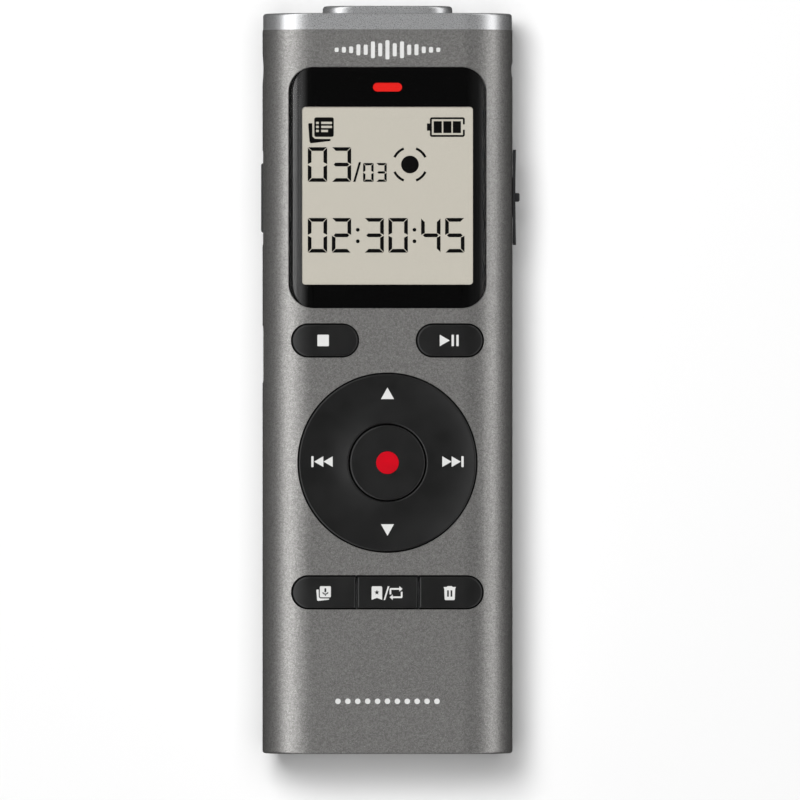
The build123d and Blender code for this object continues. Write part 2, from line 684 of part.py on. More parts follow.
def mic_leads():
    """Two wires from each capsule's back to the board."""
    back = SEAM - BOOT_WALL - GAP / 2 - MIC_L
    land = PCB_Y1 - MIC_LEAD_LAND
    wires = []
    lead_x = MIC_X - MIC_LEAD_IN
    for x in both_sides((lead_x - MIC_LEAD_PITCH / 2, lead_x + MIC_LEAD_PITCH / 2)):
        points = [(x, back, MIC_Z), (x, land, MIC_Z), (x, land, PCB_Z)]
        wires.append(wire(points, MIC_LEAD_BEND))
    return wires


def wire(points, bend):
    path = FilletPolyline(*points, radius=bend)
    start = Plane(path @ 0, z_dir=path % 0)
    return sweep(start * Circle(WIRE_R), path)


# ---------------------------------------------------------------- display
def panel_outline(grow=0.0):
    grow = PANEL_MARGIN + grow
    return Rectangle(SCREEN_W + 2 * grow, SCREEN_H + 2 * grow)


def display_lens():
    sheet = RectangleRounded(WINDOW_W, WINDOW_H, WINDOW_ROUND)
    return plate_under_face(sheet, WINDOW_Y, LENS_SINK, LENS_T)


def lens_mask():
    """Black print on the back of the lens, with the screen and the lamp left clear."""
    sheet = RectangleRounded(WINDOW_W, WINDOW_H, WINDOW_ROUND)
    mask = plate_under_face(sheet, WINDOW_Y, LENS_SINK + LENS_T, MASK_T)
    mask -= prism(RectangleRounded(SCREEN_W, SCREEN_H, SCREEN_ROUND), 0, SCREEN_Y, CROWN_Z, BODY_T)
    return mask - prism(SlotOverall(LED_W, LED_H), 0, LED_Y, CROWN_Z, BODY_T)


def lcd_panel():
    return prism(panel_outline(), 0, SCREEN_Y, PANEL_Z - PANEL_T, PANEL_Z)


def lcd_backlight():
    top = PANEL_Z - PANEL_T - GAP / 2
    return prism(panel_outline(), 0, SCREEN_Y, top - LIGHT_T, top)


def lcd_frame():
    """Tray under the panel, on four feet that stand on the board."""
    floor_top = PANEL_Z - PANEL_T - LIGHT_T - GAP
    floor = floor_top - FRAME_FLOOR
    tray = prism(panel_outline(GAP + FRAME_WALL), 0, SCREEN_Y, floor, PANEL_Z - PANEL_T - GAP)
    tray -= prism(panel_outline(GAP), 0, SCREEN_Y, floor_top, BODY_T)
    foot_x = SCREEN_W / 2 - FRAME_FOOT_R
    foot_y = SCREEN_H / 2 - FRAME_FOOT_R
    for x in (-foot_x, foot_x):
        for y in (-foot_y, foot_y):
            tray += rod_z(FRAME_FOOT_R, x, SCREEN_Y + y, PCB_TOP, floor)
    return tray


def lcd_flex():
    """Flat cable from the panel's lower edge down to the board."""
    half = FLEX_W / 2
    edge = FLEX_Y + FLEX_T
    return (
        block(-half, half, FLEX_Y, PANEL_END_Y, FLEX_Z - FLEX_T, FLEX_Z)
        + block(-half, half, FLEX_Y, edge, PCB_TOP, FLEX_Z)
        + block(-half, half, FLEX_Y - FLEX_LAND, edge, PCB_TOP, PCB_TOP + FLEX_T)
    )


def led_lens():
    """Red light pipe with a small flange under the front wall."""
    top = BODY_T - WINDOW_BACK - GAP / 2
    bottom = PCB_TOP + LED_CHIP_H + LED_CHIP_GAP
    flange_top = CEILING - GAP
    flange = SlotOverall(LED_W + 2 * LED_FLANGE, LED_H + 2 * LED_FLANGE)
    pipe = prism(SlotOverall(LED_W, LED_H), 0, LED_Y, bottom, top)
    return pipe + prism(flange, 0, LED_Y, flange_top - LED_FLANGE_T, flange_top)


def led_chip():
    return prism(Rectangle(LED_CHIP_L, LED_CHIP_W), 0, LED_Y, PCB_TOP, PCB_TOP + LED_CHIP_H)


# ---------------------------------------------------------------- front keys
def round_top(key):
    """Rounds the outline of a key's top, but not the joins between its top faces."""
    tops = [face for face in key.faces() if face.normal_at().Z > 0.5 and face.center().Z > CEILING]
    rim = ShapeList()
    for edge in (edge for face in tops for edge in face.edges()):
        shared = [face for face in tops if any(edge.is_same(other) for other in face.edges())]
        if len(shared) == 1:
            rim.append(edge)
    return fillet(rim, KEY_ROUND)


def key_cap(hole, cut=None):
    """A key that fills its hole less the gap: a cap that follows the front face, and a flange.

    hole is the hole's outline in place, and cut keeps only one key's share of it.
    """
    share = cut if cut else Rectangle(2 * BODY_W, 2 * BODY_L)
    cap = offset(hole, -KEY_GAP) & share
    flange = offset(hole, FLANGE) & share
    cap_solid = prism(cap, 0, 0, FLANGE_Z, BODY_T + 1) & envelope(KEY_PROUD)
    flange_solid = prism(flange, 0, 0, FLANGE_Z, FLANGE_Z + FLANGE_T)
    return round_top(cap_solid) + (flange_solid & along_y(cavity_section(GAP), BOTTOM, TOP))


def side_key_cap(x):
    hole = Pos(x, SIDE_HOLE_Y) * SlotOverall(SIDE_HOLE_W, KEY_HOLE_H)
    return key_cap(hole) + rod_z(PUSHER_R, x, SIDE_HOLE_Y, PUSHER_Z, FLANGE_Z)


def row_key(x0, x1, pusher_x):
    hole = Pos(0, ROW_Y) * SlotOverall(ROW_W, KEY_HOLE_H)
    share = Pos((x0 + x1) / 2, ROW_Y) * Rectangle(x1 - x0, BODY_W)
    return key_cap(hole, share) + rod_z(PUSHER_R, pusher_x, ROW_Y, PUSHER_Z, FLANGE_Z)


def stop_key():
    return side_key_cap(-SIDE_HOLE_X)


def play_key():
    return side_key_cap(SIDE_HOLE_X)


def index_key():
    return row_key(-BODY_W, -ROW_SPLIT_X - ROW_SPLIT_GAP / 2, -ROW_PUSHER_X)


def mark_key():
    half = ROW_SPLIT_X - ROW_SPLIT_GAP / 2
    return row_key(-half, half, 0)


def delete_key():
    return row_key(ROW_SPLIT_X + ROW_SPLIT_GAP / 2, BODY_W, ROW_PUSHER_X)


def nav_ring():
    """Ring with a dished top, hollow underneath, with a flange and four pushers."""
    rim = NAV_RIM_Z
    bottom = NAV_FLANGE_Z
    flange_top = bottom + NAV_FLANGE_T
    flange_r = NAV_D / 2 + FLANGE
    hollow_in = PAD_OUT_R + NAV_PAD_GAP
    hollow_out = NAV_OUT_R - NAV_RIM_T
    hollow_top = rim - NAV_DISH - NAV_RIM_T
    soft = NAV_SOFT
    bulge = soft * (1 - math.sqrt(0.5))  # middle of a quarter circle, from its corner
    outline = [
        Line((NAV_IN_R, bottom), (NAV_IN_R, rim - soft)),
        ThreePointArc((NAV_IN_R, rim - soft), (NAV_IN_R + bulge, rim - bulge), (NAV_IN_R + soft, rim)),
        ThreePointArc((NAV_IN_R + soft, rim), (NAV_PUSHER_R, rim - NAV_DISH), (NAV_OUT_R - soft, rim)),
        ThreePointArc((NAV_OUT_R - soft, rim), (NAV_OUT_R - bulge, rim - bulge), (NAV_OUT_R, rim - soft)),
        Polyline((NAV_OUT_R, rim - soft), (NAV_OUT_R, flange_top), (flange_r, flange_top),
                 (flange_r, bottom), (hollow_out, bottom), (hollow_out, hollow_top),
                 (hollow_in, hollow_top), (hollow_in, bottom), (NAV_IN_R, bottom)),
    ]
    ring = revolve(Plane.XZ * make_face(outline), Axis.Z)
    ring = Pos(0, NAV_Y, 0) * ring
    for x, y in nav_pusher_places():
        ring += rod_z(PUSHER_R, x, y, PUSHER_Z, hollow_top + NAV_RIM_T / 4)
    return ring


def nav_pad():
    """Thin silicone ring that the nav ring rocks on."""
    disc = rod_z(PAD_OUT_R, 0, NAV_Y, PAD_Z, PAD_Z + PAD_T)
    return disc - rod_z(PAD_IN_R, 0, NAV_Y, PAD_Z - 1, BODY_T)


def record_key():
    r = RECORD_D / 2
    key = rod_z(r, 0, NAV_Y, RECORD_FLANGE_Z, RECORD_Z)
    key = fillet(key.faces().sort_by(Axis.Z)[-1].edges(), KEY_ROUND)
    flange_r = PAD_IN_R - PAD_RECORD_GAP
    key += rod_z(flange_r, 0, NAV_Y, RECORD_FLANGE_Z, RECORD_FLANGE_Z + RECORD_FLANGE_T)
    key += rod_z(PUSHER_R, 0, NAV_Y, PUSHER_Z, RECORD_FLANGE_Z)
    return key - rod_z(DOT_D / 2 + SNUG, 0, NAV_Y, RECORD_Z - DOT_DEPTH, BODY_T + 1)


def record_dot():
    """Red inlay, very slightly domed."""
    top = RECORD_Z + DOT_PROUD
    dot = rod_z(DOT_D / 2, 0, NAV_Y, RECORD_Z - DOT_DEPTH, top)
    return fillet(dot.faces().sort_by(Axis.Z)[-1].edges(), DOT_PROUD)


def keypad_mat():
    """Silicone sheet over the domes, on a rim, with a hole for each pusher."""
    width = 2 * (PCB_X - MAT_INSET)
    y0 = ROW_Y - KEY_HOLE_H / 2 - MAT_BEYOND
    y1 = SIDE_HOLE_Y + KEY_HOLE_H / 2 + MAT_BEYOND
    middle = (y0 + y1) / 2
    sheet = RectangleRounded(width, y1 - y0, MAT_ROUND)
    hollow = offset(sheet, -MAT_RIM)
    mat = prism(sheet, 0, middle, PCB_TOP, MAT_Z + MAT_T) - prism(hollow, 0, middle, PCB_TOP, MAT_Z)
    for x, y in dome_places():
        mat -= rod_z(PUSHER_R + MAT_HOLE_GAP, x, y, PCB_TOP, BODY_T)
    mat -= rod_z(PAD_IN_R - GAP, 0, NAV_Y, PCB_TOP, BODY_T)
    for x, y in screw_places():
        mat -= rod_z(FRONT_BOSS_R + MAT_POST_GAP, x, y, PCB_TOP - 1, BODY_T)
    for x, y in BOARD_SCREWS:
        mat -= rod_z(POST_R + MAT_POST_GAP, x, y, PCB_TOP - 1, BODY_T)
    return mat


def dome_switches():
    """Shallow metal domes on the board, each a cap of a large sphere."""
    ball_r = (DOME_R**2 + DOME_H**2) / (2 * DOME_H)
    half_way = math.sqrt(ball_r**2 - DOME_R**2 / 4) - ball_r + DOME_H
    arc = ThreePointArc((0, DOME_H), (DOME_R / 2, half_way), (DOME_R, 0))
    face = make_face([arc, Polyline((DOME_R, 0), (0, 0), (0, DOME_H))])
    dome = revolve(Plane.XZ * face, Axis.Z)
    return [Pos(x, y, PCB_TOP) * dome for x, y in dome_places()]


# ---------------------------------------------------------------- side key, slider and strap pin
def side_key():
    y0 = SIDE_KEY_Y - SIDE_KEY_L / 2
    y1 = SIDE_KEY_Y + SIDE_KEY_L / 2
    z0 = CROWN_Z - SIDE_KEY_H / 2
    z1 = CROWN_Z + SIDE_KEY_H / 2
    face_x = BODY_W / 2 + SIDE_KEY_PROUD
    key = block(-face_x, -FLANGE_X, y0, y1, z0, z1)
    key = fillet(key.faces().sort_by(Axis.X)[0].edges(), KEY_ROUND)
    return key + block(-FLANGE_X, -FLANGE_X + FLANGE_DEPTH, y0 - FLANGE, y1 + FLANGE,
                       z0 - FLANGE, z1 + GAP)


def side_switch():
    """Side-push switch under the board, its plunger one travel behind the key."""
    tip = -FLANGE_X + FLANGE_DEPTH + SIDE_KEY_TRAVEL + GAP / 2
    face = tip + PLUNGER_REACH
    half = SIDE_SWITCH_L / 2
    middle = PCB_Z - SWITCH_H / 2
    low, high = middle - PLUNGER_H / 2, middle + PLUNGER_H / 2
    body = block(face, face + SWITCH_D, SIDE_KEY_Y - half, SIDE_KEY_Y + half, PCB_Z - SWITCH_H, PCB_Z)
    return body + block(tip, face, SIDE_KEY_Y - PLUNGER_L / 2, SIDE_KEY_Y + PLUNGER_L / 2, low, high)


def power_slider():
    """Plate outside the wall with a thumb rib, and a stem through the slot to a forked foot."""
    above = CROWN_Z + SLIDER_H
    below = CROWN_Z - SLIDER_H
    stem_y = STEM_L / 2
    foot_x = FLANGE_X - FLANGE_DEPTH
    plate_outline = Pos(SLIDER_Y, CROWN_Z) * RectangleRounded(SLIDER_L, SLIDER_H, SLIDER_ROUND)
    column = along_x(plate_outline, 0, BODY_W)
    plate = column & (envelope(SLIDER_PROUD) - envelope(GAP))
    half = SLIDER_L / 2
    dish_r = half**2 / (2 * SLIDER_DISH)
    dish_x = BODY_W / 2 + SLIDER_PROUD - SLIDER_DISH + dish_r
    plate -= rod_z(dish_r, dish_x, SLIDER_Y, below, above)
    rib_x = BODY_W / 2 + NUB_RIB_PROUD
    rib = block(BODY_W / 2 + GAP, rib_x, SLIDER_Y - NUB_RIB_L / 2, SLIDER_Y + NUB_RIB_L / 2,
                CROWN_Z - NUB_RIB_H / 2, CROWN_Z + NUB_RIB_H / 2)
    rib = fillet(rib.faces().sort_by(Axis.X)[-1].edges(), NUB_RIB_ROUND)
    stem = block(foot_x, BODY_W / 2 + 2 * GAP, SLIDER_Y - stem_y, SLIDER_Y + stem_y,
                 CROWN_Z - STEM_H / 2, CROWN_Z + STEM_H / 2)
    foot = block(foot_x, FLANGE_X, SLIDER_Y - stem_y, SLIDER_Y + stem_y,
                 CROWN_Z - FOOT_H / 2, CROWN_Z + FOOT_H / 2)
    fork = LEVER_W / 2 + GAP
    notch = block(foot_x - 1, FLANGE_X + GAP, SLIDER_Y - fork, SLIDER_Y + fork, below, above)
    return plate + rib + stem + foot - notch


def switch_lever():
    """The slide switch's lever, held in the slider's fork."""
    return block(switch_face() - LEVER_IN, FLANGE_X, SLIDER_Y - LEVER_W / 2, SLIDER_Y + LEVER_W / 2,
                 CROWN_Z - LEVER_H / 2, CROWN_Z + LEVER_H / 2)


def switch_face():
    return FLANGE_X - FLANGE_DEPTH - 2 * GAP


def power_switch():
    """Slide switch under the board, with a window for its lever."""
    x1 = switch_face()
    half = SWITCH_L / 2
    body = block(x1 - SWITCH_D, x1, SLIDER_Y - half, SLIDER_Y + half, PCB_Z - SWITCH_H, PCB_Z)
    window_y = LEVER_W / 2 + SLIDER_TRAVEL + GAP
    window_z = LEVER_H / 2 + GAP
    return body - block(x1 - 2 * LEVER_IN, x1 + 1, SLIDER_Y - window_y, SLIDER_Y + window_y,
                        CROWN_Z - window_z, CROWN_Z + window_z)


def strap_pin():
    reach = STRAP_H / 2 + STRAP_WALL / 2 - GAP / 2
    return rod_z(STRAP_PIN_R, strap_pin_x(), STRAP_Y, CROWN_Z - reach, CROWN_Z + reach)


# ---------------------------------------------------------------- sockets
def headphone_jack():
    mouth = -BODY_W / 2 + RECESS_DEPTH + SNUG
    x0 = -WALL_X + 2 * GAP
    x1 = x0 + JACK_L
    body = block(x0, x1, JACK_Y - JACK_W / 2, JACK_Y + JACK_W / 2, PCB_Z - JACK_H, PCB_Z)
    body += rod_x(JACK_NECK_R, mouth, x0, JACK_Y, JACK_Z)
    return body - rod_x(JACK_BORE_R, mouth - 1, x1 - JACK_END_T, JACK_Y, JACK_Z)


def usb_outline(grow=0.0):
    """Flat socket with its two lower corners cut off."""
    shape = Rectangle(USB_W + 2 * grow, USB_H + 2 * grow)
    return chamfer(shape.vertices().sort_by(Axis.Y)[:2], USB_CORNER)


def usb_mouth():
    return -BODY_W / 2 + RECESS_DEPTH + SNUG


def usb_socket():
    x0 = usb_mouth()
    outline = Pos(USB_Y, USB_Z)
    shell_solid = along_x(outline * usb_outline(), x0, x0 + USB_L)
    return shell_solid - along_x(outline * usb_outline(-USB_WALL), x0 - 1, x0 + USB_L - USB_WALL)


def usb_tongue():
    """Insulator in the middle of the socket, clear of its walls."""
    x0 = usb_mouth()
    half = USB_W / 2 - USB_WALL - USB_TONGUE_GAP
    return block(x0 + USB_TONGUE_SINK, x0 + USB_L - USB_WALL, USB_Y - half, USB_Y + half,
                 USB_Z, USB_Z + USB_TONGUE_T)


# ---------------------------------------------------------------- board
def pcb():
    board = block(-PCB_X, PCB_X, PCB_Y0, PCB_Y1, PCB_Z, PCB_TOP)
    board = fillet(board.edges().filter_by(Axis.Z), PCB_ROUND)
    low, high = PCB_Z - 1, PCB_TOP + 1
    for x, y in screw_places():
        board -= rod_z(FRONT_BOSS_R + PCB_GAP, x, y, low, high)
    for x, y in BOARD_SCREWS:
        board -= rod_z(BOARD_SCREW_R + GAP, x, y, low, high)
    strap_x = BODY_W / 2 - STRAP_DEPTH - STRAP_WALL - PCB_GAP
    strap_y = STRAP_W / 2 + STRAP_WALL + PCB_GAP
    board -= block(strap_x, BODY_W, STRAP_Y - strap_y, STRAP_Y + strap_y, low, high)
    key_x = FLANGE_X - FLANGE_DEPTH - SIDE_KEY_TRAVEL - PCB_GAP
    key_y = SIDE_KEY_L / 2 + FLANGE + PCB_GAP
    return board - block(-BODY_W, -key_x, SIDE_KEY_Y - key_y, SIDE_KEY_Y + key_y, low, high)


def chip(size, x, y):
    """A block of this length, width and height that hangs from the board's underside."""
    length, width, height = size
    return prism(Rectangle(length, width), x, SPEAKER_Y + y, PCB_Z - height, PCB_Z)


def processor_chip():
    return chip(PROCESSOR, *PROCESSOR_PLACE)


def memory_chip():
    return chip(MEMORY, *MEMORY_PLACE)


def crystal():
    x, y = CRYSTAL_PLACE
    can = prism(SlotOverall(CRYSTAL_L, CRYSTAL_W), x, SPEAKER_Y + y, PCB_Z - CRYSTAL_H, PCB_Z)
    return fillet(can.faces().sort_by(Axis.Z)[0].edges(), CRYSTAL_EDGE)


def pcb_passives():
    """Rows of small chip parts beside the processor, the last row only beyond the crystal."""
    x0, y0 = PASSIVE_PLACE
    step_x, step_y = PASSIVE_PITCH
    chips = []
    for row in range(PASSIVE_ROWS):
        for column in range(PASSIVE_COLUMNS):
            x = x0 + step_x * column
            if row < PASSIVE_ROWS - 1 or x > 0:
                chips.append(chip(PASSIVE, x, y0 + step_y * row))
    return chips


# ---------------------------------------------------------------- batteries and contacts
def cell(x, y0, sign):
    """One cell, its flat end at y0 and its nub at the far end in the direction of sign."""
    y1 = y0 + sign * (CELL_L - NUB_L)
    y2 = y0 + sign * CELL_L
    can = rod_y(CELL_R, x, min(y0, y1), max(y0, y1), CELL_Z)
    can = fillet(can.edges(), CELL_EDGE)
    root = y1 - sign * GAP
    return can + rod_y(NUB_R, x, min(root, y2), max(root, y2), CELL_Z)


def battery_left():
    return cell(-CELL_X, TUB_Y0 + GAP + CONTACT_T + SPRING_L, 1)


def battery_right():
    return cell(CELL_X, TUB_Y1 - GAP - CONTACT_T - SPRING_L, -1)


def spring():
    height = SPRING_L - 2 * SPRING_WIRE_R
    path = Helix(height / SPRING_TURNS, height, SPRING_R)
    start = Plane(path @ 0, z_dir=path % 0)
    return sweep(start * Circle(SPRING_WIRE_R), path, is_frenet=True)


def contact_springs():
    low = TUB_Y0 + GAP + CONTACT_T + SPRING_WIRE_R
    high = TUB_Y1 - GAP - CONTACT_T - SPRING_WIRE_R
    coil = spring()
    return [Pos(-CELL_X, low, CELL_Z) * Rot(-90, 0, 0) * coil,
            Pos(CELL_X, high, CELL_Z) * Rot(90, 0, 0) * coil]


def contact_bridge():
    """Plate across both cells at the bottom end, with the button for the right cell's nub."""
    y0 = TUB_Y0 + GAP
    y1 = y0 + CONTACT_T
    half_x = TUB_X - CONTACT_SIDE_GAP
    plate = block(-half_x, half_x, y0, y1, CELL_Z - CONTACT_W / 2, CELL_Z + CONTACT_W / 2)
    button = rod_y(PAD_R, CELL_X, y0, y1 + PAD_L, CELL_Z)
    return plate + fillet(button.faces().sort_by(Axis.Y)[-1].edges(), CELL_EDGE)


def tab_leg(x, grow=0.0):
    """Solder leg that rises from a tab through the roof to the board."""
    y1 = TUB_Y1 - GAP
    half = TAB_LEG_W / 2 + grow
    return block(x - half, x + half, y1 - CONTACT_T - grow, y1 + grow, CELL_Z, PCB_Z)


def contact_tabs():
    """One plate for each cell at the inner end, the left one with a button for the nub."""
    y1 = TUB_Y1 - GAP
    y0 = y1 - CONTACT_T
    half = CONTACT_W / 2
    tabs = []
    for x in (-CELL_X, CELL_X):
        plate = block(x - half, x + half, y0, y1, CELL_Z - half, CELL_Z + half)
        tabs.append(plate + tab_leg(x))
    button = rod_y(PAD_R, -CELL_X, y0 - PAD_L, y1, CELL_Z)
    tabs[0] += fillet(button.faces().sort_by(Axis.Y)[0].edges(), CELL_EDGE)
    return tabs


# ---------------------------------------------------------------- speaker
def speaker_gasket():
    z0 = SIDE_WALL + SNUG
    ring = rod_z(SPEAKER_R, 0, SPEAKER_Y, z0, z0 + GASKET_T)
    return ring - rod_z(SLOT_FIELD_R + GASKET_WIDER, 0, SPEAKER_Y, 0, z0 + 1)


def speaker_basket():
    """Shallow cup with four windows in its back and a seat for the magnet."""
    inner_z = SPEAKER_BACK_Z - BASKET_BACK_T
    cup = rod_z(SPEAKER_R, 0, SPEAKER_Y, SPEAKER_Z, SPEAKER_BACK_Z)
    cup -= rod_z(SPEAKER_R - BASKET_WALL, 0, SPEAKER_Y, SPEAKER_Z - 1, inner_z)
    for angle in (45, 135, 225, 315):
        x = BASKET_WINDOW_RING * math.cos(math.radians(angle))
        y = SPEAKER_Y + BASKET_WINDOW_RING * math.sin(math.radians(angle))
        cup -= rod_z(BASKET_WINDOW_R, x, y, inner_z - 1, SPEAKER_BACK_Z + 1)
    return cup


def speaker_magnet():
    magnet = rod_z(MAGNET_R, 0, SPEAKER_Y, SPEAKER_BACK_Z, SPEAKER_BACK_Z + MAGNET_T)
    return fillet(magnet.faces().sort_by(Axis.Z)[-1].edges(), MAGNET_EDGE)


def speaker_cone():
    """Thin cone with a domed middle and a half-round surround, as one moulded skin."""
    r = SPEAKER_R - BASKET_WALL - CONE_GAP
    z = SPEAKER_Z + CONE_RISE
    front = [(r, z), (r - 1.5, z + 0.5), (r - 2.2, z + 0.1), (DOME_CAP_R, z + 1.1), (0, z + 0.5)]
    back = [(x, y + CONE_T) for x, y in reversed(front)]
    profile = make_face(Polyline(*front, *back, close=True))
    return Pos(0, SPEAKER_Y, 0) * revolve(Plane.XZ * profile, Axis.Z)


def speaker_leads():
    """Two wires from the basket up to the board."""
    y = SPEAKER_Y + SPEAKER_R - SPEAKER_LEAD_IN
    step_x, step_y = SPEAKER_LEAD_STEP
    rise = PCB_Z - SPEAKER_BACK_Z
    wires = []
    for x in (-SPEAKER_LEAD_X, SPEAKER_LEAD_X):
        points = [
            (x, y, SPEAKER_BACK_Z),
            (x, y, SPEAKER_BACK_Z + 0.37 * rise),
            (x + step_x, y + step_y, SPEAKER_BACK_Z + 0.69 * rise),
            (x + step_x, y + step_y, PCB_Z),
        ]
        wires.append(wire(points, SPEAKER_LEAD_BEND))
    return wires


# ---------------------------------------------------------------- fasteners
def screw(x, y, head_z, head_r, head_t, shank_r, shank_l):
    """Pan-head screw driven upwards, with a cross recess in its head."""
    head = rod_z(head_r, x, y, head_z - head_t, head_z)
    head = fillet(head.faces().sort_by(Axis.Z)[0].edges(), head_t / 3)
    arm = head_r * CROSS_REACH
    slot = head_r * CROSS_HALF_W
    face_z = head_z - head_t
    for half_x, half_y in ((arm, slot), (slot, arm)):
        head -= block(x - half_x, x + half_x, y - half_y, y + half_y, face_z - 1, face_z + head_t / 2)
    return head + rod_z(shank_r, x, y, head_z, head_z + shank_l)


def housing_screws():
    return [screw(x, y, SCREW_HEAD_Z, SCREW_HEAD_R, SCREW_HEAD_T, SCREW_R, SCREW_L)
            for x, y in screw_places()]


def pcb_screws():
    return [screw(x, y, PCB_Z, BOARD_HEAD_R, BOARD_HEAD_T, BOARD_SCREW_R, BOARD_SCREW_L)
            for x, y in BOARD_SCREWS]


# ---------------------------------------------------------------- write every piece
PIECES = (
    front_housing, rear_housing, battery_door, top_cap, mic_bezel, mic_grille, mic_foam, mic_capsules,
    mic_boots, mic_leads, display_lens, lens_mask, lcd_panel, lcd_backlight, lcd_frame, lcd_flex,
    led_lens, led_chip, stop_key, play_key, index_key, mark_key, delete_key, nav_ring, nav_pad,
    record_key, record_dot, keypad_mat, dome_switches, side_key, side_switch, power_slider,
    switch_lever, power_switch, strap_pin, headphone_jack, usb_socket, usb_tongue, pcb,
    processor_chip, memory_chip, crystal, pcb_passives, battery_left, battery_right,
    contact_springs, contact_bridge, contact_tabs, speaker_gasket, speaker_basket, speaker_magnet,
    speaker_cone, speaker_leads, housing_screws, pcb_screws,
)

os.makedirs("parts", exist_ok=True)
for piece in PIECES:
    solids = piece()
    if isinstance(solids, list):
        solids = Compound(children=solids)
    export_step(solids, f"parts/{piece.__name__}.step")
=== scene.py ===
import json
import math

import bpy
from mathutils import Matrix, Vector
from mathutils.bvhtree import BVHTree


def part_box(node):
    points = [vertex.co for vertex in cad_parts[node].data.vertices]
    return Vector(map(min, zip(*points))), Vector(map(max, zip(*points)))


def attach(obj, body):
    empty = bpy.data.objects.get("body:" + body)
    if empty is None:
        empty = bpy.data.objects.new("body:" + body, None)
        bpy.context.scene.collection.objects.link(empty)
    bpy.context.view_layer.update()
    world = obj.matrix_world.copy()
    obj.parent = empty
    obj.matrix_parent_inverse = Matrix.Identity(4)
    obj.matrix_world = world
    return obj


# The looks of a handheld voice recorder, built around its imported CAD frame.
MM = 0.001

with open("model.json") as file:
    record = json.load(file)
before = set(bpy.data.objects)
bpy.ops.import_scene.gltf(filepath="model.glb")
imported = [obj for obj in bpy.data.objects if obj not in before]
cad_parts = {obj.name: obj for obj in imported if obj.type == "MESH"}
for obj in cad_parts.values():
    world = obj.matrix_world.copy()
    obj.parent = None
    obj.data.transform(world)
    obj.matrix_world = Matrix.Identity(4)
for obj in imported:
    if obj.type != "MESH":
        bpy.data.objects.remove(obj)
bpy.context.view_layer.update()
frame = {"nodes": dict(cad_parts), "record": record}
nodes = frame["nodes"]

# Read from the frame, in metres.
LOW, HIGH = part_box("front_housing")
FACE_Z = HIGH.z
BODY_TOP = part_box("top_cap")[1].y  # the microphone end, without the oval ring
BODY_MIDDLE_Y = (BODY_TOP + LOW.y) / 2
CELL_LOW, CELL_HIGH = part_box("battery_left")
CELL_BAND_Y = CELL_LOW.y + 0.72 * (CELL_HIGH.y - CELL_LOW.y)  # where the sleeve's colour changes

# Finishes. Colours are linear, and grains are in repeats per mm.
NOISE_LOW = 0.3  # a noise's values mostly lie between these two
NOISE_HIGH = 0.7
PAINT_ROUGH = 0.36
PAINT_METAL = 0.75
PAINT_DARK = (0.243, 0.238, 0.231)
PAINT_LIGHT = (0.39, 0.383, 0.373)
PAINT_SPARK = (0.6, 0.6, 0.58)
PAINT_FLAKES = 9.0
PAINT_CLOUDS = 2.2
FLAKE_CONTRAST = 0.35
SPARK_FROM = 0.965  # flakes with a higher random value than this are bright
SPARK_MOST = 0.75
LCD_DARK = (0.545, 0.514, 0.443)
LCD_LIGHT = (0.616, 0.583, 0.503)
INK_BLACK = (0.002, 0.002, 0.002)
KEY_BLACK = (0.0085, 0.0085, 0.0085)
LAMP_RED = (0.62, 0.004, 0.001)
PRINT_WHITE = (0.66, 0.66, 0.65)
BOARD_DARK = (0.008, 0.11, 0.045)
BOARD_LIGHT = (0.012, 0.14, 0.06)
BOARD_TRACK = (0.03, 0.22, 0.09)
BOARD_TRACKS = 0.55
CELL_DARK = (0.025, 0.025, 0.03)
CELL_COPPER = (0.62, 0.33, 0.14)
CELL_BLUR = 0.05  # mm, half of the change from one colour to the other

# Prints, in mm.
PRINT_THICK = 0.03
INK_THICK = 0.02
PRINT_SINK = 0.005
PRINT_DROP = 10.0  # prints are laid on their node from this far above the front face

# Signs on the keys, in mm.
STOP_ICON_DX = -0.55  # from the key's middle
PLAY_ICON_DX = 0.18
INDEX_ICON_X = -9.61  # from the recorder's middle
BIN_ICON_X = 9.43
ROW_ICON_DROP = 0.11  # below the middle of the row of three keys
UP_ICON_Y = 10.36  # from the ring's middle
SKIP_ICON_X = 9.92
NAV_ICON_RISE = 0.16

# What the display shows, in mm from the panel's middle.
READOUT_X = -12.08  # left edge of the readouts
NUMERAL_W = 2.94
NUMERAL_H = 5.25
NUMERAL_PITCH = 3.64
NUMERAL_THICK = 0.56
MITRE_GAP = 0.12  # as a share of a bar's thickness
PAIR_PITCH = 8.59
COUNTER_Y = -8.63
COLON_XS = (-4.5, 4.09)
COLON_YS = (-5.17, -6.91)
COLON_R = 0.29
FILE_Y = 2.1
FILE_SLASH_X = -5.2
FOLDER_X = -3.7
FOLDER_SIZE = 0.545  # the folder's numerals, as a share of the large ones
FOLDER_THICK = 0.36
SIGNS_Y = 10.4
LIST_X = -9.62
LIST_SIDE = 2.96
LIST_ROWS = ((0.64, 1.2), (0.03, 1.2), (-0.58, 0.6))  # height and right end of each line
BATTERY_X = 9.08
RECORD_X = 3.41
RECORD_Y = 4.73

# Plain marks on the front, in mm.
BAR_COUNT = 15
BAR_PITCH = 1.1
BAR_WIDTH = 0.55  # as a share of the pitch
BAR_TALLEST = 2.9
BAR_SHORTEST = 0.22  # as a share of the tallest
BAR_STEPS = (0.62, 1.0)  # every other bar is lower
BARS_DROP = 3.1  # below the housing's upper end
DOT_COUNT = 11
DOT_PITCH = 1.5
DOT_R = 0.42
DOTS_RISE = 8.0  # above the housing's lower end

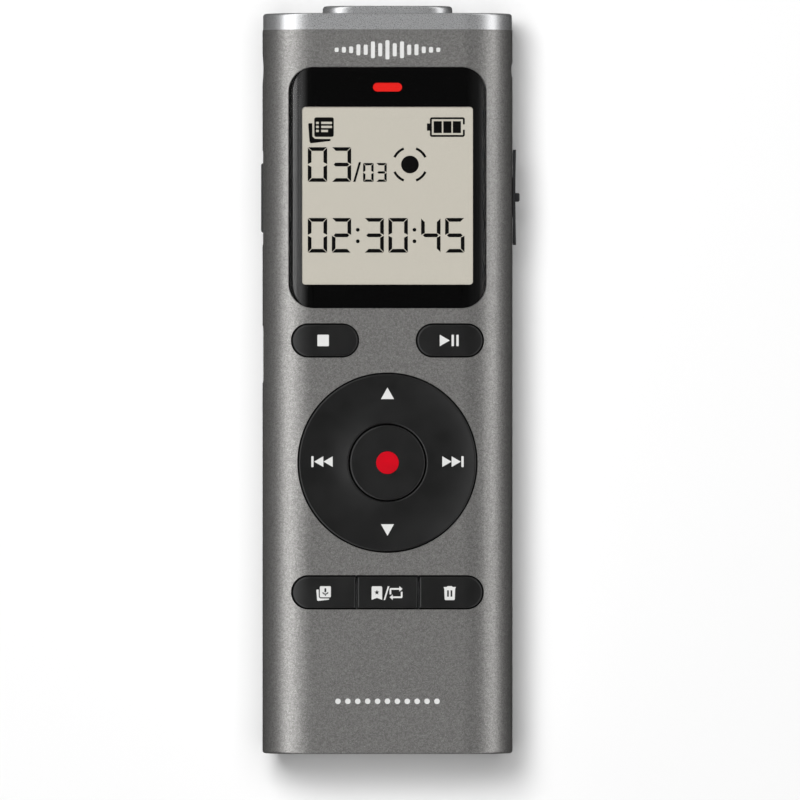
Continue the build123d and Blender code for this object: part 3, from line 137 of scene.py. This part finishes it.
# Camera, floor and lights, in metres.
CAMERA_HEIGHT = 2.5  # above the front face
PICTURE_PX = 800
PX_PER_MM = 6.60  # at the front face
VIEW_X = 1.9 * MM  # the point that the picture's middle looks at
VIEW_Y = -2.5 * MM
SENSOR = 36.0  # mm
CLIP_NEAR = 0.05
CLIP_FAR = 10.0
FLOOR_HALF = 3.0
FLOOR_Z = -0.02 * MM  # just clear of the back
FILL_LEVEL = 3.9
FILL_SIZE = 0.9
FILL_DISTANCE = 1.2
SIDE_LEVEL = 15.2
SIDE_SIZE = 0.36
SIDE_DISTANCE = 1.0
SIDE_ANGLE = -12  # degrees from straight up towards +X
SIDE_LEAN = 0.27
STUDIO_STRENGTH = 2.48
# Brightness round the object, from straight up (0 degrees) towards +X, as shares of STUDIO_STRENGTH.
STUDIO_LEVELS = (
    (-180, 0.005), (-105, 0.005), (-92, 0.01), (-80, 0.04), (-70, 0.5), (-60, 1.0), (-48, 0.9),
    (-36, 0.46), (-24, 0.2), (-10, 0.01), (10, 0.005), (38, 0.04), (52, 0.16), (66, 0.62), (78, 0.7),
    (90, 0.15), (105, 0.005), (180, 0.005),
)


# ---------------------------------------------------------------- node trees
class Shader:
    """A Principled material and short ways to add nodes to it."""

    def __init__(self, name, color, rough=0.5, metallic=0.0, **sockets):
        self.material = bpy.data.materials.new(name)
        self.material.use_nodes = True
        self.tree = self.material.node_tree
        self.bsdf = self.tree.nodes["Principled BSDF"]
        self.set("Base Color", (*color, 1.0))
        self.set("Roughness", rough)
        self.set("Metallic", metallic)
        for socket, value in sockets.items():
            self.set(socket.replace("_", " "), value)

    def set(self, socket, value):
        self.bsdf.inputs[socket].default_value = value

    def add(self, kind, **values):
        node = self.tree.nodes.new(kind)
        for key, value in values.items():
            if key in node.inputs:
                node.inputs[key].default_value = value
            else:
                setattr(node, key, value)
        return node

    def link(self, output, target):
        self.tree.links.new(output, target)

    def place(self, scale):
        """Object coordinates, stretched by scale."""
        coords = self.add("ShaderNodeTexCoord")
        mapping = self.add("ShaderNodeMapping")
        mapping.inputs["Scale"].default_value = scale
        self.link(coords.outputs["Object"], mapping.inputs["Vector"])
        return mapping.outputs["Vector"]

    def noise(self, per_mm, detail=2.0, stretch=(1.0, 1.0, 1.0)):
        size = [per_mm / MM * s for s in stretch]
        node = self.add("ShaderNodeTexNoise", Scale=1.0, Detail=detail)
        self.link(self.place(size), node.inputs["Vector"])
        return node.outputs["Fac"]

    def flakes(self, per_mm):
        """One random value for each small cell."""
        node = self.add("ShaderNodeTexVoronoi", Scale=1.0)
        self.link(self.place([per_mm / MM] * 3), node.inputs["Vector"])
        return node.outputs["Color"]

    def spread(self, value, low, high, to_low, to_high):
        node = self.add("ShaderNodeMapRange")
        node.inputs["From Min"].default_value = low
        node.inputs["From Max"].default_value = high
        node.inputs["To Min"].default_value = to_low
        node.inputs["To Max"].default_value = to_high
        self.link(value, node.inputs["Value"])
        return node.outputs["Result"]

    def vary(self, noise, low=0.0, high=1.0):
        """Spreads the values of a noise over low to high."""
        return self.spread(noise, NOISE_LOW, NOISE_HIGH, low, high)

    def blend(self, factor, first, second):
        node = self.add("ShaderNodeMix", data_type="RGBA")
        self.link(factor, node.inputs["Factor"])
        node.inputs["A"].default_value = (*first, 1.0)
        node.inputs["B"].default_value = (*second, 1.0)
        return node.outputs["Result"]

    def bump(self, height, depth_mm):
        node = self.add("ShaderNodeBump", Strength=1.0, Distance=depth_mm * MM)
        self.link(height, node.inputs["Height"])
        self.link(node.outputs["Normal"], self.bsdf.inputs["Normal"])


def plastic(name, color, rough, grain=6.0, depth=0.01, vary=0.12, **sockets):
    """Moulded plastic: a fine grain in the surface, and a little variation in gloss and tone."""
    shader = Shader(name, color, rough, **sockets)
    shader.bump(shader.noise(grain), depth)
    cloud = shader.noise(0.35, 3.0)
    shader.link(shader.vary(cloud, rough * 0.85, rough * 1.15), shader.bsdf.inputs["Roughness"])
    light = [min(1.0, c * (1 + vary)) for c in color]
    dark = [c * (1 - vary) for c in color]
    shader.link(shader.blend(shader.vary(cloud), dark, light), shader.bsdf.inputs["Base Color"])
    return shader.material


def metal(name, color, rough, stretch=(1.0, 1.0, 1.0), grain=4.0, depth=0.004, metallic=1.0):
    """Bare or plated metal with a fine drawn or blasted grain."""
    shader = Shader(name, color, rough, metallic)
    lines = shader.noise(grain, 2.0, stretch)
    shader.bump(lines, depth)
    shader.link(shader.vary(lines, rough * 0.8, rough * 1.25), shader.bsdf.inputs["Roughness"])
    return shader.material


def body_paint():
    """Gunmetal metallic paint: small bright and dark flakes under a soft sheen."""
    shader = Shader("body_paint", PAINT_DARK, PAINT_ROUGH, PAINT_METAL, IOR=1.5)
    separate = shader.add("ShaderNodeSeparateColor")
    shader.link(shader.flakes(PAINT_FLAKES), separate.inputs["Color"])
    cloud = shader.noise(PAINT_CLOUDS, 4.0)
    level = shader.add("ShaderNodeMath", operation="MULTIPLY_ADD")
    tint = shader.spread(separate.outputs["Red"], 0.0, 1.0, -FLAKE_CONTRAST, FLAKE_CONTRAST)
    shader.link(tint, level.inputs[0])
    level.inputs[1].default_value = 1.0
    shader.link(cloud, level.inputs[2])
    tone = shader.blend(shader.spread(level.outputs[0], 0.2, 0.8, 0, 1), PAINT_DARK, PAINT_LIGHT)
    spark = shader.spread(separate.outputs["Green"], SPARK_FROM, 1.0, 0.0, SPARK_MOST)
    bright = shader.add("ShaderNodeMix", data_type="RGBA")
    shader.link(spark, bright.inputs["Factor"])
    shader.link(tone, bright.inputs["A"])
    bright.inputs["B"].default_value = (*PAINT_SPARK, 1.0)
    shader.link(bright.outputs["Result"], shader.bsdf.inputs["Base Color"])
    shader.bump(separate.outputs["Blue"], 0.006)
    return shader.material


def cap_satin():
    """Satin anodised aluminium, blasted very fine."""
    return metal("cap_satin", (0.74, 0.745, 0.755), 0.3, grain=9.0, depth=0.003, metallic=0.8)


def lens_clear():
    """Clear hard-coated window, dark only by what lies behind it."""
    shader = Shader("lens_clear", (0.01, 0.01, 0.01), 0.04, Alpha=0.05)
    return shader.material


def mask_black():
    """Gloss black print, smooth as the window it is printed on."""
    shader = Shader("mask_black", (0.0015, 0.0015, 0.0015), 0.09)
    shader.set("Specular IOR Level", 1.0)
    shader.link(shader.vary(shader.noise(0.2), 0.08, 0.11), shader.bsdf.inputs["Roughness"])
    return shader.material


def lcd_glass():
    """Greyish beige display, with the faint grain of its rear polariser."""
    shader = Shader("lcd_glass", LCD_DARK, 0.45)
    tone = shader.blend(shader.vary(shader.noise(12.0)), LCD_DARK, LCD_LIGHT)
    shader.link(tone, shader.bsdf.inputs["Base Color"])
    return shader.material


def led_red():
    """The lamp's window, lit faintly from below."""
    shader = Shader("led_red", LAMP_RED, 0.52)
    shader.set("Emission Color", (*LAMP_RED, 1.0))
    shader.set("Emission Strength", 0.3)
    return shader.material


def board_green():
    """Solder resist over faint copper tracks."""
    shader = Shader("board_green", BOARD_DARK, 0.3)
    tracks = shader.add("ShaderNodeTexBrick", Scale=1.0)
    shader.link(shader.place([BOARD_TRACKS / MM] * 3), tracks.inputs["Vector"])
    for socket, color in (("Color1", BOARD_DARK), ("Color2", BOARD_LIGHT), ("Mortar", BOARD_TRACK)):
        tracks.inputs[socket].default_value = (*color, 1.0)
    shader.link(tracks.outputs["Color"], shader.bsdf.inputs["Base Color"])
    shader.bump(tracks.outputs["Fac"], 0.02)
    return shader.material


def cell_wrap():
    """Printed sleeve round a cell: dark over most of its length, copper-coloured at the nub end."""
    shader = Shader("cell_wrap", CELL_DARK, 0.28, 0.6)
    coords = shader.add("ShaderNodeTexCoord")
    axes = shader.add("ShaderNodeSeparateXYZ")
    shader.link(coords.outputs["Object"], axes.inputs["Vector"])
    blur = CELL_BLUR * MM
    band = shader.spread(axes.outputs["Y"], CELL_BAND_Y - blur, CELL_BAND_Y + blur, 0, 1)
    shader.link(shader.blend(band, CELL_DARK, CELL_COPPER), shader.bsdf.inputs["Base Color"])
    shader.bump(shader.noise(3.0), 0.003)
    return shader.material


def key_black():
    return plastic("key_black", KEY_BLACK, 0.36, grain=8.0, depth=0.003, vary=0.06)


def dot_red():
    return plastic("dot_red", (0.5, 0.0, 0.008), 0.4, grain=8.0, depth=0.002, Specular_IOR_Level=0.15)


MATERIALS = {
    "body_paint": body_paint,
    "cap_satin": cap_satin,
    "lens_clear": lens_clear,
    "mask_black": mask_black,
    "lcd_glass": lcd_glass,
    "board_green": board_green,
    "cell_wrap": cell_wrap,
    "key_black": key_black,
    "led_red": led_red,
    "dot_red": dot_red,
    "grille_black": lambda: metal("grille_black", (0.05, 0.05, 0.052), 0.45),
    "foam_black": lambda: plastic("foam_black", (0.012, 0.012, 0.012), 0.95, grain=3.0, depth=0.15),
    "light_guide": lambda: plastic("light_guide", (0.8, 0.82, 0.8), 0.35),
    "frame_grey": lambda: plastic("frame_grey", (0.5, 0.5, 0.49), 0.5),
    "flex_amber": lambda: plastic("flex_amber", (0.42, 0.19, 0.04), 0.3),
    "led_white": lambda: plastic("led_white", (0.85, 0.82, 0.6), 0.3),
    "silicone": lambda: plastic("silicone", (0.3, 0.31, 0.32), 0.6, depth=0.02),
    "boot_rubber": lambda: plastic("boot_rubber", (0.02, 0.02, 0.02), 0.7, depth=0.02),
    "dome_metal": lambda: metal("dome_metal", (0.75, 0.73, 0.7), 0.25),
    "switch_black": lambda: plastic("switch_black", (0.02, 0.02, 0.022), 0.5),
    "slider_black": lambda: plastic("slider_black", (0.014, 0.014, 0.015), 0.45, grain=7.0, depth=0.01),
    "steel": lambda: metal("steel", (0.58, 0.58, 0.59), 0.3, stretch=(1, 0.05, 1)),
    "jack_black": lambda: plastic("jack_black", (0.012, 0.012, 0.012), 0.4),
    "chip_black": lambda: plastic("chip_black", (0.02, 0.02, 0.021), 0.6, depth=0.02),
    "can_metal": lambda: metal("can_metal", (0.66, 0.66, 0.66), 0.3),
    "contact_metal": lambda: metal("contact_metal", (0.7, 0.68, 0.62), 0.25, stretch=(0.05, 1, 1)),
    "cone_film": lambda: plastic("cone_film", (0.03, 0.03, 0.03), 0.4),
    "lead_wire": lambda: plastic("lead_wire", (0.4, 0.02, 0.015), 0.45),
}


def dress_nodes():
    """Gives each CAD node the material of its slot in the record."""
    made = {slot: make() for slot, make in MATERIALS.items()}
    for part in frame["record"]["subparts"]:
        mesh = nodes[part["node"]].data
        mesh.materials.clear()
        mesh.materials.append(made[part["material_slot"]])


dress_nodes()


# ---------------------------------------------------------------- flat printed shapes
def box_path(x0, y0, x1, y1):
    return [(x0, y0), (x1, y0), (x1, y1), (x0, y1)]


def round_box(x0, y0, x1, y1, r, steps=5):
    """A rectangle with round corners, anticlockwise."""
    corners = (
        ((x1 - r, y0 + r), -90),
        ((x1 - r, y1 - r), 0),
        ((x0 + r, y1 - r), 90),
        ((x0 + r, y0 + r), 180),
    )
    return [point for centre, start in corners for point in arc(centre, r, start, start + 90, steps)]


def arc(centre, r, start, end, steps=12):
    """Points on an arc, its angles in degrees."""
    angles = [math.radians(start + (end - start) * i / steps) for i in range(steps + 1)]
    return [(centre[0] + r * math.cos(a), centre[1] + r * math.sin(a)) for a in angles]


def disc(x, y, r, points=24):
    return arc((x, y), r, 0, 360 * (points - 1) / points, points - 1)


def arc_band(centre, r, width, start, end):
    """A curved bar of even width."""
    return arc(centre, r + width / 2, start, end) + arc(centre, r - width / 2, end, start)


def shift(paths, dx, dy):
    return [[(x + dx, y + dy) for x, y in path] for path in paths]


def turned(paths, degrees):
    c, s = math.cos(math.radians(degrees)), math.sin(math.radians(degrees))
    return [[(x * c - y * s, x * s + y * c) for x, y in path] for path in paths]


def print_on(name, paths, node, material, body, thick=PRINT_THICK):
    """A thin raised print: closed outlines in mm, filled, laid on a CAD node's upper surface.

    A path inside another is a hole in it.
    """
    curve = bpy.data.curves.new(name, "CURVE")
    curve.dimensions = "2D"
    curve.fill_mode = "BOTH"
    curve.extrude = thick * MM / 2
    for path in paths:
        spline = curve.splines.new("POLY")
        spline.points.add(len(path) - 1)
        for point, (x, y) in zip(spline.points, path):
            point.co = (x * MM, y * MM, 0, 1)
        spline.use_cyclic_u = True
    outline = bpy.data.objects.new(name + "_outline", curve)
    bpy.context.scene.collection.objects.link(outline)
    bpy.context.view_layer.update()
    mesh = bpy.data.meshes.new_from_object(outline)
    mesh.name = name
    bpy.data.objects.remove(outline)
    surface = BVHTree.FromPolygons(
        [v.co for v in nodes[node].data.vertices], [list(p.vertices) for p in nodes[node].data.polygons]
    )
    for vertex in mesh.vertices:
        above = Vector((vertex.co.x, vertex.co.y, FACE_Z + PRINT_DROP * MM))
        hit = surface.ray_cast(above, Vector((0, 0, -1)))[0]
        vertex.co.z += hit.z + 0.5 * thick * MM - PRINT_SINK * MM
    mesh.materials.clear()
    mesh.materials.append(material)
    piece = bpy.data.objects.new(name, mesh)
    bpy.context.scene.collection.objects.link(piece)
    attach(piece, body)


def bar(x, width, height):
    """An upright bar with softened corners, its middle at x."""
    return round_box(x - width / 2, -height / 2, x + width / 2, height / 2, 0.25 * width, 3)


def triangle(length, width):
    """An arrowhead that points to +X, its middle at the origin."""
    return [(-length / 2, -width / 2), (length / 2, 0), (-length / 2, width / 2)]


def stop_icon():
    return [round_box(-0.87, -0.87, 0.87, 0.87, 0.12)]


def play_icon():
    return shift([triangle(1.52, 1.74)], -0.69, 0) + [bar(0.52, 0.36, 1.74), bar(1.24, 0.36, 1.74)]


def skip_icon():
    """Two arrowheads against a bar, pointing to +X."""
    heads = [triangle(1.4, 1.62)]
    return shift(heads, -0.92, 0) + shift(heads, 0.5, 0) + [bar(1.45, 0.35, 1.66)]


def arrow_icon():
    return turned([triangle(1.76, 1.98)], 90)


def two_cards(side):
    """A square card, and the two edges that show of a tilted one behind it."""
    half = side / 2
    behind = [(-0.81, 0.14), (-0.74, -0.76), (-0.67, -0.83), (0.33, -0.71), (0.34, -0.61), (-0.46, -0.6),
              (-0.59, -0.48), (-0.6, 0.2), (-0.77, 0.2)]
    return [round_box(-half, -half, half, half, 0.1 * side), [(x * side, y * side) for x, y in behind]]


def index_icon():
    """Cards with a microphone cut out of the front one."""
    capsule = round_box(-0.14, -0.1, 0.14, 0.55, 0.13)
    cup = arc_band((0, 0.06), 0.42, 0.18, 200, 340)
    return shift(two_cards(1.68) + [capsule, cup, box_path(-0.09, -0.62, 0.09, -0.48)], 0.2, 0.2)


def star(x, y, r):
    """Five points round a centre."""
    corners = []
    for i in range(10):
        reach = r if i % 2 == 0 else 0.45 * r
        angle = math.radians(90 + 36 * i)
        corners.append((x + reach * math.cos(angle), y + reach * math.sin(angle)))
    return corners


def mark_icon():
    """A bookmark with a star in it, a slash, and a loop of two bent arrows."""
    ribbon = [(-0.8, -1.03), (0, -0.72), (0.8, -1.03), (0.8, 0.9), (0.68, 1.03), (-0.68, 1.03), (-0.8, 0.9)]
    slash = [(-0.44, -1.05), (-0.2, -1.05), (0.44, 1.02), (0.2, 1.02)]
    bent_arrow = [(-0.98, -0.2), (-0.98, 0.62), (-0.86, 0.76), (0.5, 0.76), (0.5, 1.04), (0.98, 0.63),
                  (0.5, 0.22), (0.5, 0.5), (-0.72, 0.5), (-0.72, -0.2)]
    loop = [bent_arrow] + turned([bent_arrow], 180)
    return shift([ribbon, star(0, 0.1, 0.4)], -1.6, 0) + shift([slash], -0.15, 0) + shift(loop, 1.3, 0)


def bin_icon():
    """A waste bin with a lid, a handle and two slots."""
    outline = [(-0.94, 0.93), (-0.46, 0.92), (-0.32, 1.06), (0.32, 1.06), (0.46, 0.92), (0.94, 0.93),
               (0.82, 0.63), (0.77, -0.93), (0.65, -1.06), (-0.65, -1.06), (-0.77, -0.93), (-0.82, 0.63)]
    slots = [box_path(x - 0.13, -0.55, x + 0.13, 0.42) for x in (-0.26, 0.26)]
    return [outline] + slots


def print_keys():
    """White icons on the keys, each riding on its own key."""
    white = plastic("print_white", PRINT_WHITE, 0.5, grain=9.0, depth=0.002, vary=0.04)
    stop_x, stop_y = middle("stop_key")
    play_x, play_y = middle("play_key")
    mark_x, mark_y = middle("mark_key")
    row_y = mark_y - ROW_ICON_DROP
    ring_x, ring_y = middle("nav_ring")
    ring_y += NAV_ICON_RISE
    icons = (
        ("stop_icon", stop_icon(), "stop_key", "stop", stop_x + STOP_ICON_DX, stop_y),
        ("play_icon", play_icon(), "play_key", "play", play_x + PLAY_ICON_DX, play_y),
        ("mark_icon", mark_icon(), "mark_key", "mark", mark_x, row_y),
        ("index_icon", index_icon(), "index_key", "index", INDEX_ICON_X, row_y),
        ("bin_icon", bin_icon(), "delete_key", "delete", BIN_ICON_X, row_y),
        ("up_icon", arrow_icon(), "nav_ring", "nav", ring_x, ring_y + UP_ICON_Y),
        ("down_icon", turned(arrow_icon(), 180), "nav_ring", "nav", ring_x, ring_y - UP_ICON_Y),
        ("back_icon", turned(skip_icon(), 180), "nav_ring", "nav", ring_x - SKIP_ICON_X, ring_y),
        ("forward_icon", skip_icon(), "nav_ring", "nav", ring_x + SKIP_ICON_X, ring_y),
    )
    for name, paths, node, body, x, y in icons:
        print_on(name, shift(paths, x, y), node, white, body)


def middle(node):
    """The middle of a node's box seen from above, in mm."""
    low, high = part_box(node)
    return (low.x + high.x) / 2 / MM, (low.y + high.y) / 2 / MM


# ---------------------------------------------------------------- what the display shows
def segment_paths(lit, x, y, width, height, thick):
    """The lit bars of a seven-segment numeral, its lower left corner at x, y.

    a to f run clockwise from the top, and g is the middle one. Bars meet in mitres with a thin gap.
    """
    gap = MITRE_GAP * thick
    half = height / 2
    flat = [(gap, 0), (width - gap, 0), (width - gap - thick, thick), (gap + thick, thick)]
    upright = [(0, gap), (thick, gap + thick), (thick, half - gap - thick / 2), (0, half - gap)]
    cross = [(thick / 2, 0), (thick, thick / 2), (width - thick, thick / 2), (width - thick / 2, 0),
             (width - thick, -thick / 2), (thick, -thick / 2)]
    bars = {
        "a": [(px, height - py) for px, py in flat],
        "b": [(width - px, height - py) for px, py in upright],
        "c": [(width - px, py) for px, py in upright],
        "d": flat,
        "e": upright,
        "f": [(px, height - py) for px, py in upright],
        "g": [(px, half + py) for px, py in cross],
    }
    return shift([bars[name] for name in lit], x, y)


LIT = {"0": "abcdef", "2": "abdeg", "3": "abcdg", "4": "bcfg", "5": "acdfg"}


def pair(numerals, x, y, size=1.0, thick=NUMERAL_THICK):
    """Numerals side by side, size being their share of the large ones."""
    paths = []
    for i, numeral in enumerate(numerals):
        left = x + i * NUMERAL_PITCH * size
        paths += segment_paths(LIT[numeral], left, y, NUMERAL_W * size, NUMERAL_H * size, thick)
    return paths


def counter_paths():
    """The elapsed time along the bottom: three pairs with colons between."""
    paths = []
    for i, numerals in enumerate(("02", "30", "45")):
        paths += pair(numerals, READOUT_X + i * PAIR_PITCH, COUNTER_Y)
    return paths + [disc(x, y, COLON_R) for x in COLON_XS for y in COLON_YS]


def file_paths():
    """This file's number of the folder's, and the list sign above it."""
    slash = [(0, 0), (0.35, 0), (1.2, 3.0), (0.85, 3.0)]
    paths = pair("03", READOUT_X, FILE_Y) + shift([slash], FILE_SLASH_X, FILE_Y)
    paths += pair("03", FOLDER_X, FILE_Y, FOLDER_SIZE, FOLDER_THICK)
    lines = []
    for row, end in LIST_ROWS:
        lines += [box_path(x0, row - 0.17, x1, row + 0.17) for x0, x1 in ((-1.2, -0.79), (-0.42, end))]
    return paths + shift(two_cards(LIST_SIDE) + lines, LIST_X, SIGNS_Y)


def recording_paths():
    """A disc inside four arcs."""
    arcs = [arc_band((0, 0), 2.58, 0.38, a - 22, a + 22) for a in (47, 133, 227, 313)]
    return shift([disc(0, 0, 1.35)] + arcs, RECORD_X, RECORD_Y)


def battery_paths():
    """A battery with three charge blocks, its case open at one side."""
    w, h, line, gap, soft, nub = 2.65, 1.49, 0.3, 0.4, 0.22, 0.55
    outer = [(w, gap), (w, h - soft), (w - soft, h), (soft - w, h), (-w, h - soft), (-w, nub),
             (-w - 0.45, nub)]
    inner = [(line - w, h - line), (w - line, h - line), (w - line, gap)]
    case = outer + mirrored(outer) + mirrored(inner) + inner
    blocks = [box_path(x, -0.9, x + 1.24, 0.9) for x in (-2.08, -0.62, 0.82)]
    return shift([case] + blocks, BATTERY_X, SIGNS_Y)


def mirrored(path):
    """The path below the X axis, followed the other way round."""
    return [(x, -y) for x, y in reversed(path)]


def print_display():
    """The readouts and signs, dark on the panel."""
    ink = Shader("lcd_ink", INK_BLACK, 0.5, Specular_IOR_Level=0.1)
    ink.link(ink.vary(ink.noise(10.0), 0.45, 0.55), ink.bsdf.inputs["Roughness"])
    x, y = middle("lcd_panel")
    groups = {
        "counter_print": counter_paths(),
        "file_print": file_paths(),
        "recording_print": recording_paths(),
        "battery_print": battery_paths(),
    }
    for name, paths in groups.items():
        laid = shift(paths, x, y)
        print_on(name, laid, "lcd_panel", ink.material, "recorder", INK_THICK)


# ---------------------------------------------------------------- plain marks on the front
def level_bars():
    """Rounded bars like a sound level, tall in the middle."""
    paths = []
    for i in range(BAR_COUNT):
        place = i - (BAR_COUNT - 1) / 2
        swell = math.cos(place / BAR_COUNT * math.pi) ** 2 * BAR_STEPS[i % 2]
        height = BAR_TALLEST * (BAR_SHORTEST + (1 - BAR_SHORTEST) * swell)
        paths.append(bar(place * BAR_PITCH, BAR_WIDTH * BAR_PITCH, height))
    return paths


def dots():
    """A straight row of dots, its middle at the origin."""
    return [disc((i - (DOT_COUNT - 1) / 2) * DOT_PITCH, 0, DOT_R) for i in range(DOT_COUNT)]


def print_marks():
    """A row of level bars above the window, and a row of dots near the bottom end."""
    silver = plastic("print_silver", PRINT_WHITE, 0.45, grain=9.0, depth=0.002, vary=0.04)
    marks = (
        ("level_mark", level_bars(), HIGH.y / MM - BARS_DROP),
        ("dot_mark", dots(), LOW.y / MM + DOTS_RISE),
    )
    for name, paths, y in marks:
        print_on(name, shift(paths, 0, y), "front_housing", silver, "recorder")


print_keys()
print_display()
print_marks()


# ---------------------------------------------------------------- camera, floor and light
def add_camera():
    """Straight above the front face, from far enough to show almost no perspective."""
    data = bpy.data.cameras.new("camera")
    data.sensor_width = SENSOR
    field = PICTURE_PX / PX_PER_MM * MM
    data.lens = SENSOR * CAMERA_HEIGHT / field
    data.clip_start = CLIP_NEAR
    data.clip_end = CLIP_FAR
    camera = bpy.data.objects.new("camera", data)
    camera.location = (VIEW_X, VIEW_Y, FACE_Z + CAMERA_HEIGHT)
    bpy.context.scene.collection.objects.link(camera)
    bpy.context.scene.camera = camera


def add_floor():
    """A plain white square that reflects in nothing."""
    mesh = bpy.data.meshes.new("floor")
    corners = box_path(-FLOOR_HALF, -FLOOR_HALF, FLOOR_HALF, FLOOR_HALF)
    mesh.from_pydata([(x, y, FLOOR_Z) for x, y in corners], [], [(0, 1, 2, 3)])
    floor = bpy.data.objects.new("floor", mesh)
    bpy.context.scene.collection.objects.link(floor)
    shader = Shader("floor_white", (0.88, 0.88, 0.88), 0.9)
    shader.set("Specular IOR Level", 0.0)
    mesh.materials.append(shader.material)
    floor.visible_glossy = False


def add_softbox(name, direction, distance, size, radiance):
    """A square light that faces the recorder from a direction, and shows in no reflection."""
    aim = Vector((0, BODY_MIDDLE_Y, FACE_Z / 2))
    away = Vector(direction).normalized()
    data = bpy.data.lights.new(name, "AREA")
    data.shape = "SQUARE"
    data.size = size
    data.energy = radiance * math.pi * size * size
    light = bpy.data.objects.new(name, data)
    light.location = aim + away * distance
    light.rotation_mode = "QUATERNION"
    light.rotation_quaternion = away.to_track_quat("Z", "Y")
    light.visible_glossy = False
    light.visible_camera = False
    bpy.context.scene.collection.objects.link(light)


def toward(angle, lean):
    """A direction this many degrees from straight up towards +X, leaning a little to +Y."""
    a = math.radians(angle)
    return (math.sin(a), lean, math.cos(a))


def add_lights():
    """Diffuse light from above, and reflections from the studio's walls, which the world stands for."""
    add_softbox("fill_box", (0, 0, 1), FILL_DISTANCE, FILL_SIZE, FILL_LEVEL)
    add_softbox("side_box", toward(SIDE_ANGLE, SIDE_LEAN), SIDE_DISTANCE, SIDE_SIZE, SIDE_LEVEL)
    add_studio()


def add_studio():
    """Long soft lights at both sides of a dim room, seen only in reflections."""
    world = bpy.data.worlds.new("studio")
    bpy.context.scene.world = world
    world.use_nodes = True
    tree = world.node_tree
    coords = tree.nodes.new("ShaderNodeTexCoord")
    axes = tree.nodes.new("ShaderNodeSeparateXYZ")
    tree.links.new(coords.outputs["Generated"], axes.inputs["Vector"])
    angle = tree.nodes.new("ShaderNodeMath")
    angle.operation = "ARCTAN2"
    tree.links.new(axes.outputs["X"], angle.inputs[0])
    tree.links.new(axes.outputs["Z"], angle.inputs[1])
    turn = tree.nodes.new("ShaderNodeMapRange")
    turn.inputs["From Min"].default_value = -math.pi
    turn.inputs["From Max"].default_value = math.pi
    tree.links.new(angle.outputs[0], turn.inputs["Value"])
    ramp = tree.nodes.new("ShaderNodeValToRGB")
    tree.links.new(turn.outputs["Result"], ramp.inputs["Fac"])
    steps = ramp.color_ramp.elements
    while len(steps) < len(STUDIO_LEVELS):
        steps.new(0.5)
    for step, (degrees, level) in zip(steps, STUDIO_LEVELS):
        step.position = 0.5 + degrees / 360
        step.color = (level, level, level, 1.0)
    tree.links.new(ramp.outputs["Color"], tree.nodes["Background"].inputs["Color"])
    tree.nodes["Background"].inputs["Strength"].default_value = STUDIO_STRENGTH
    world.cycles_visibility.diffuse = False
    world.cycles_visibility.camera = False


add_camera()
add_floor()
add_lights()
bpy.context.scene.view_settings.view_transform = "Standard"
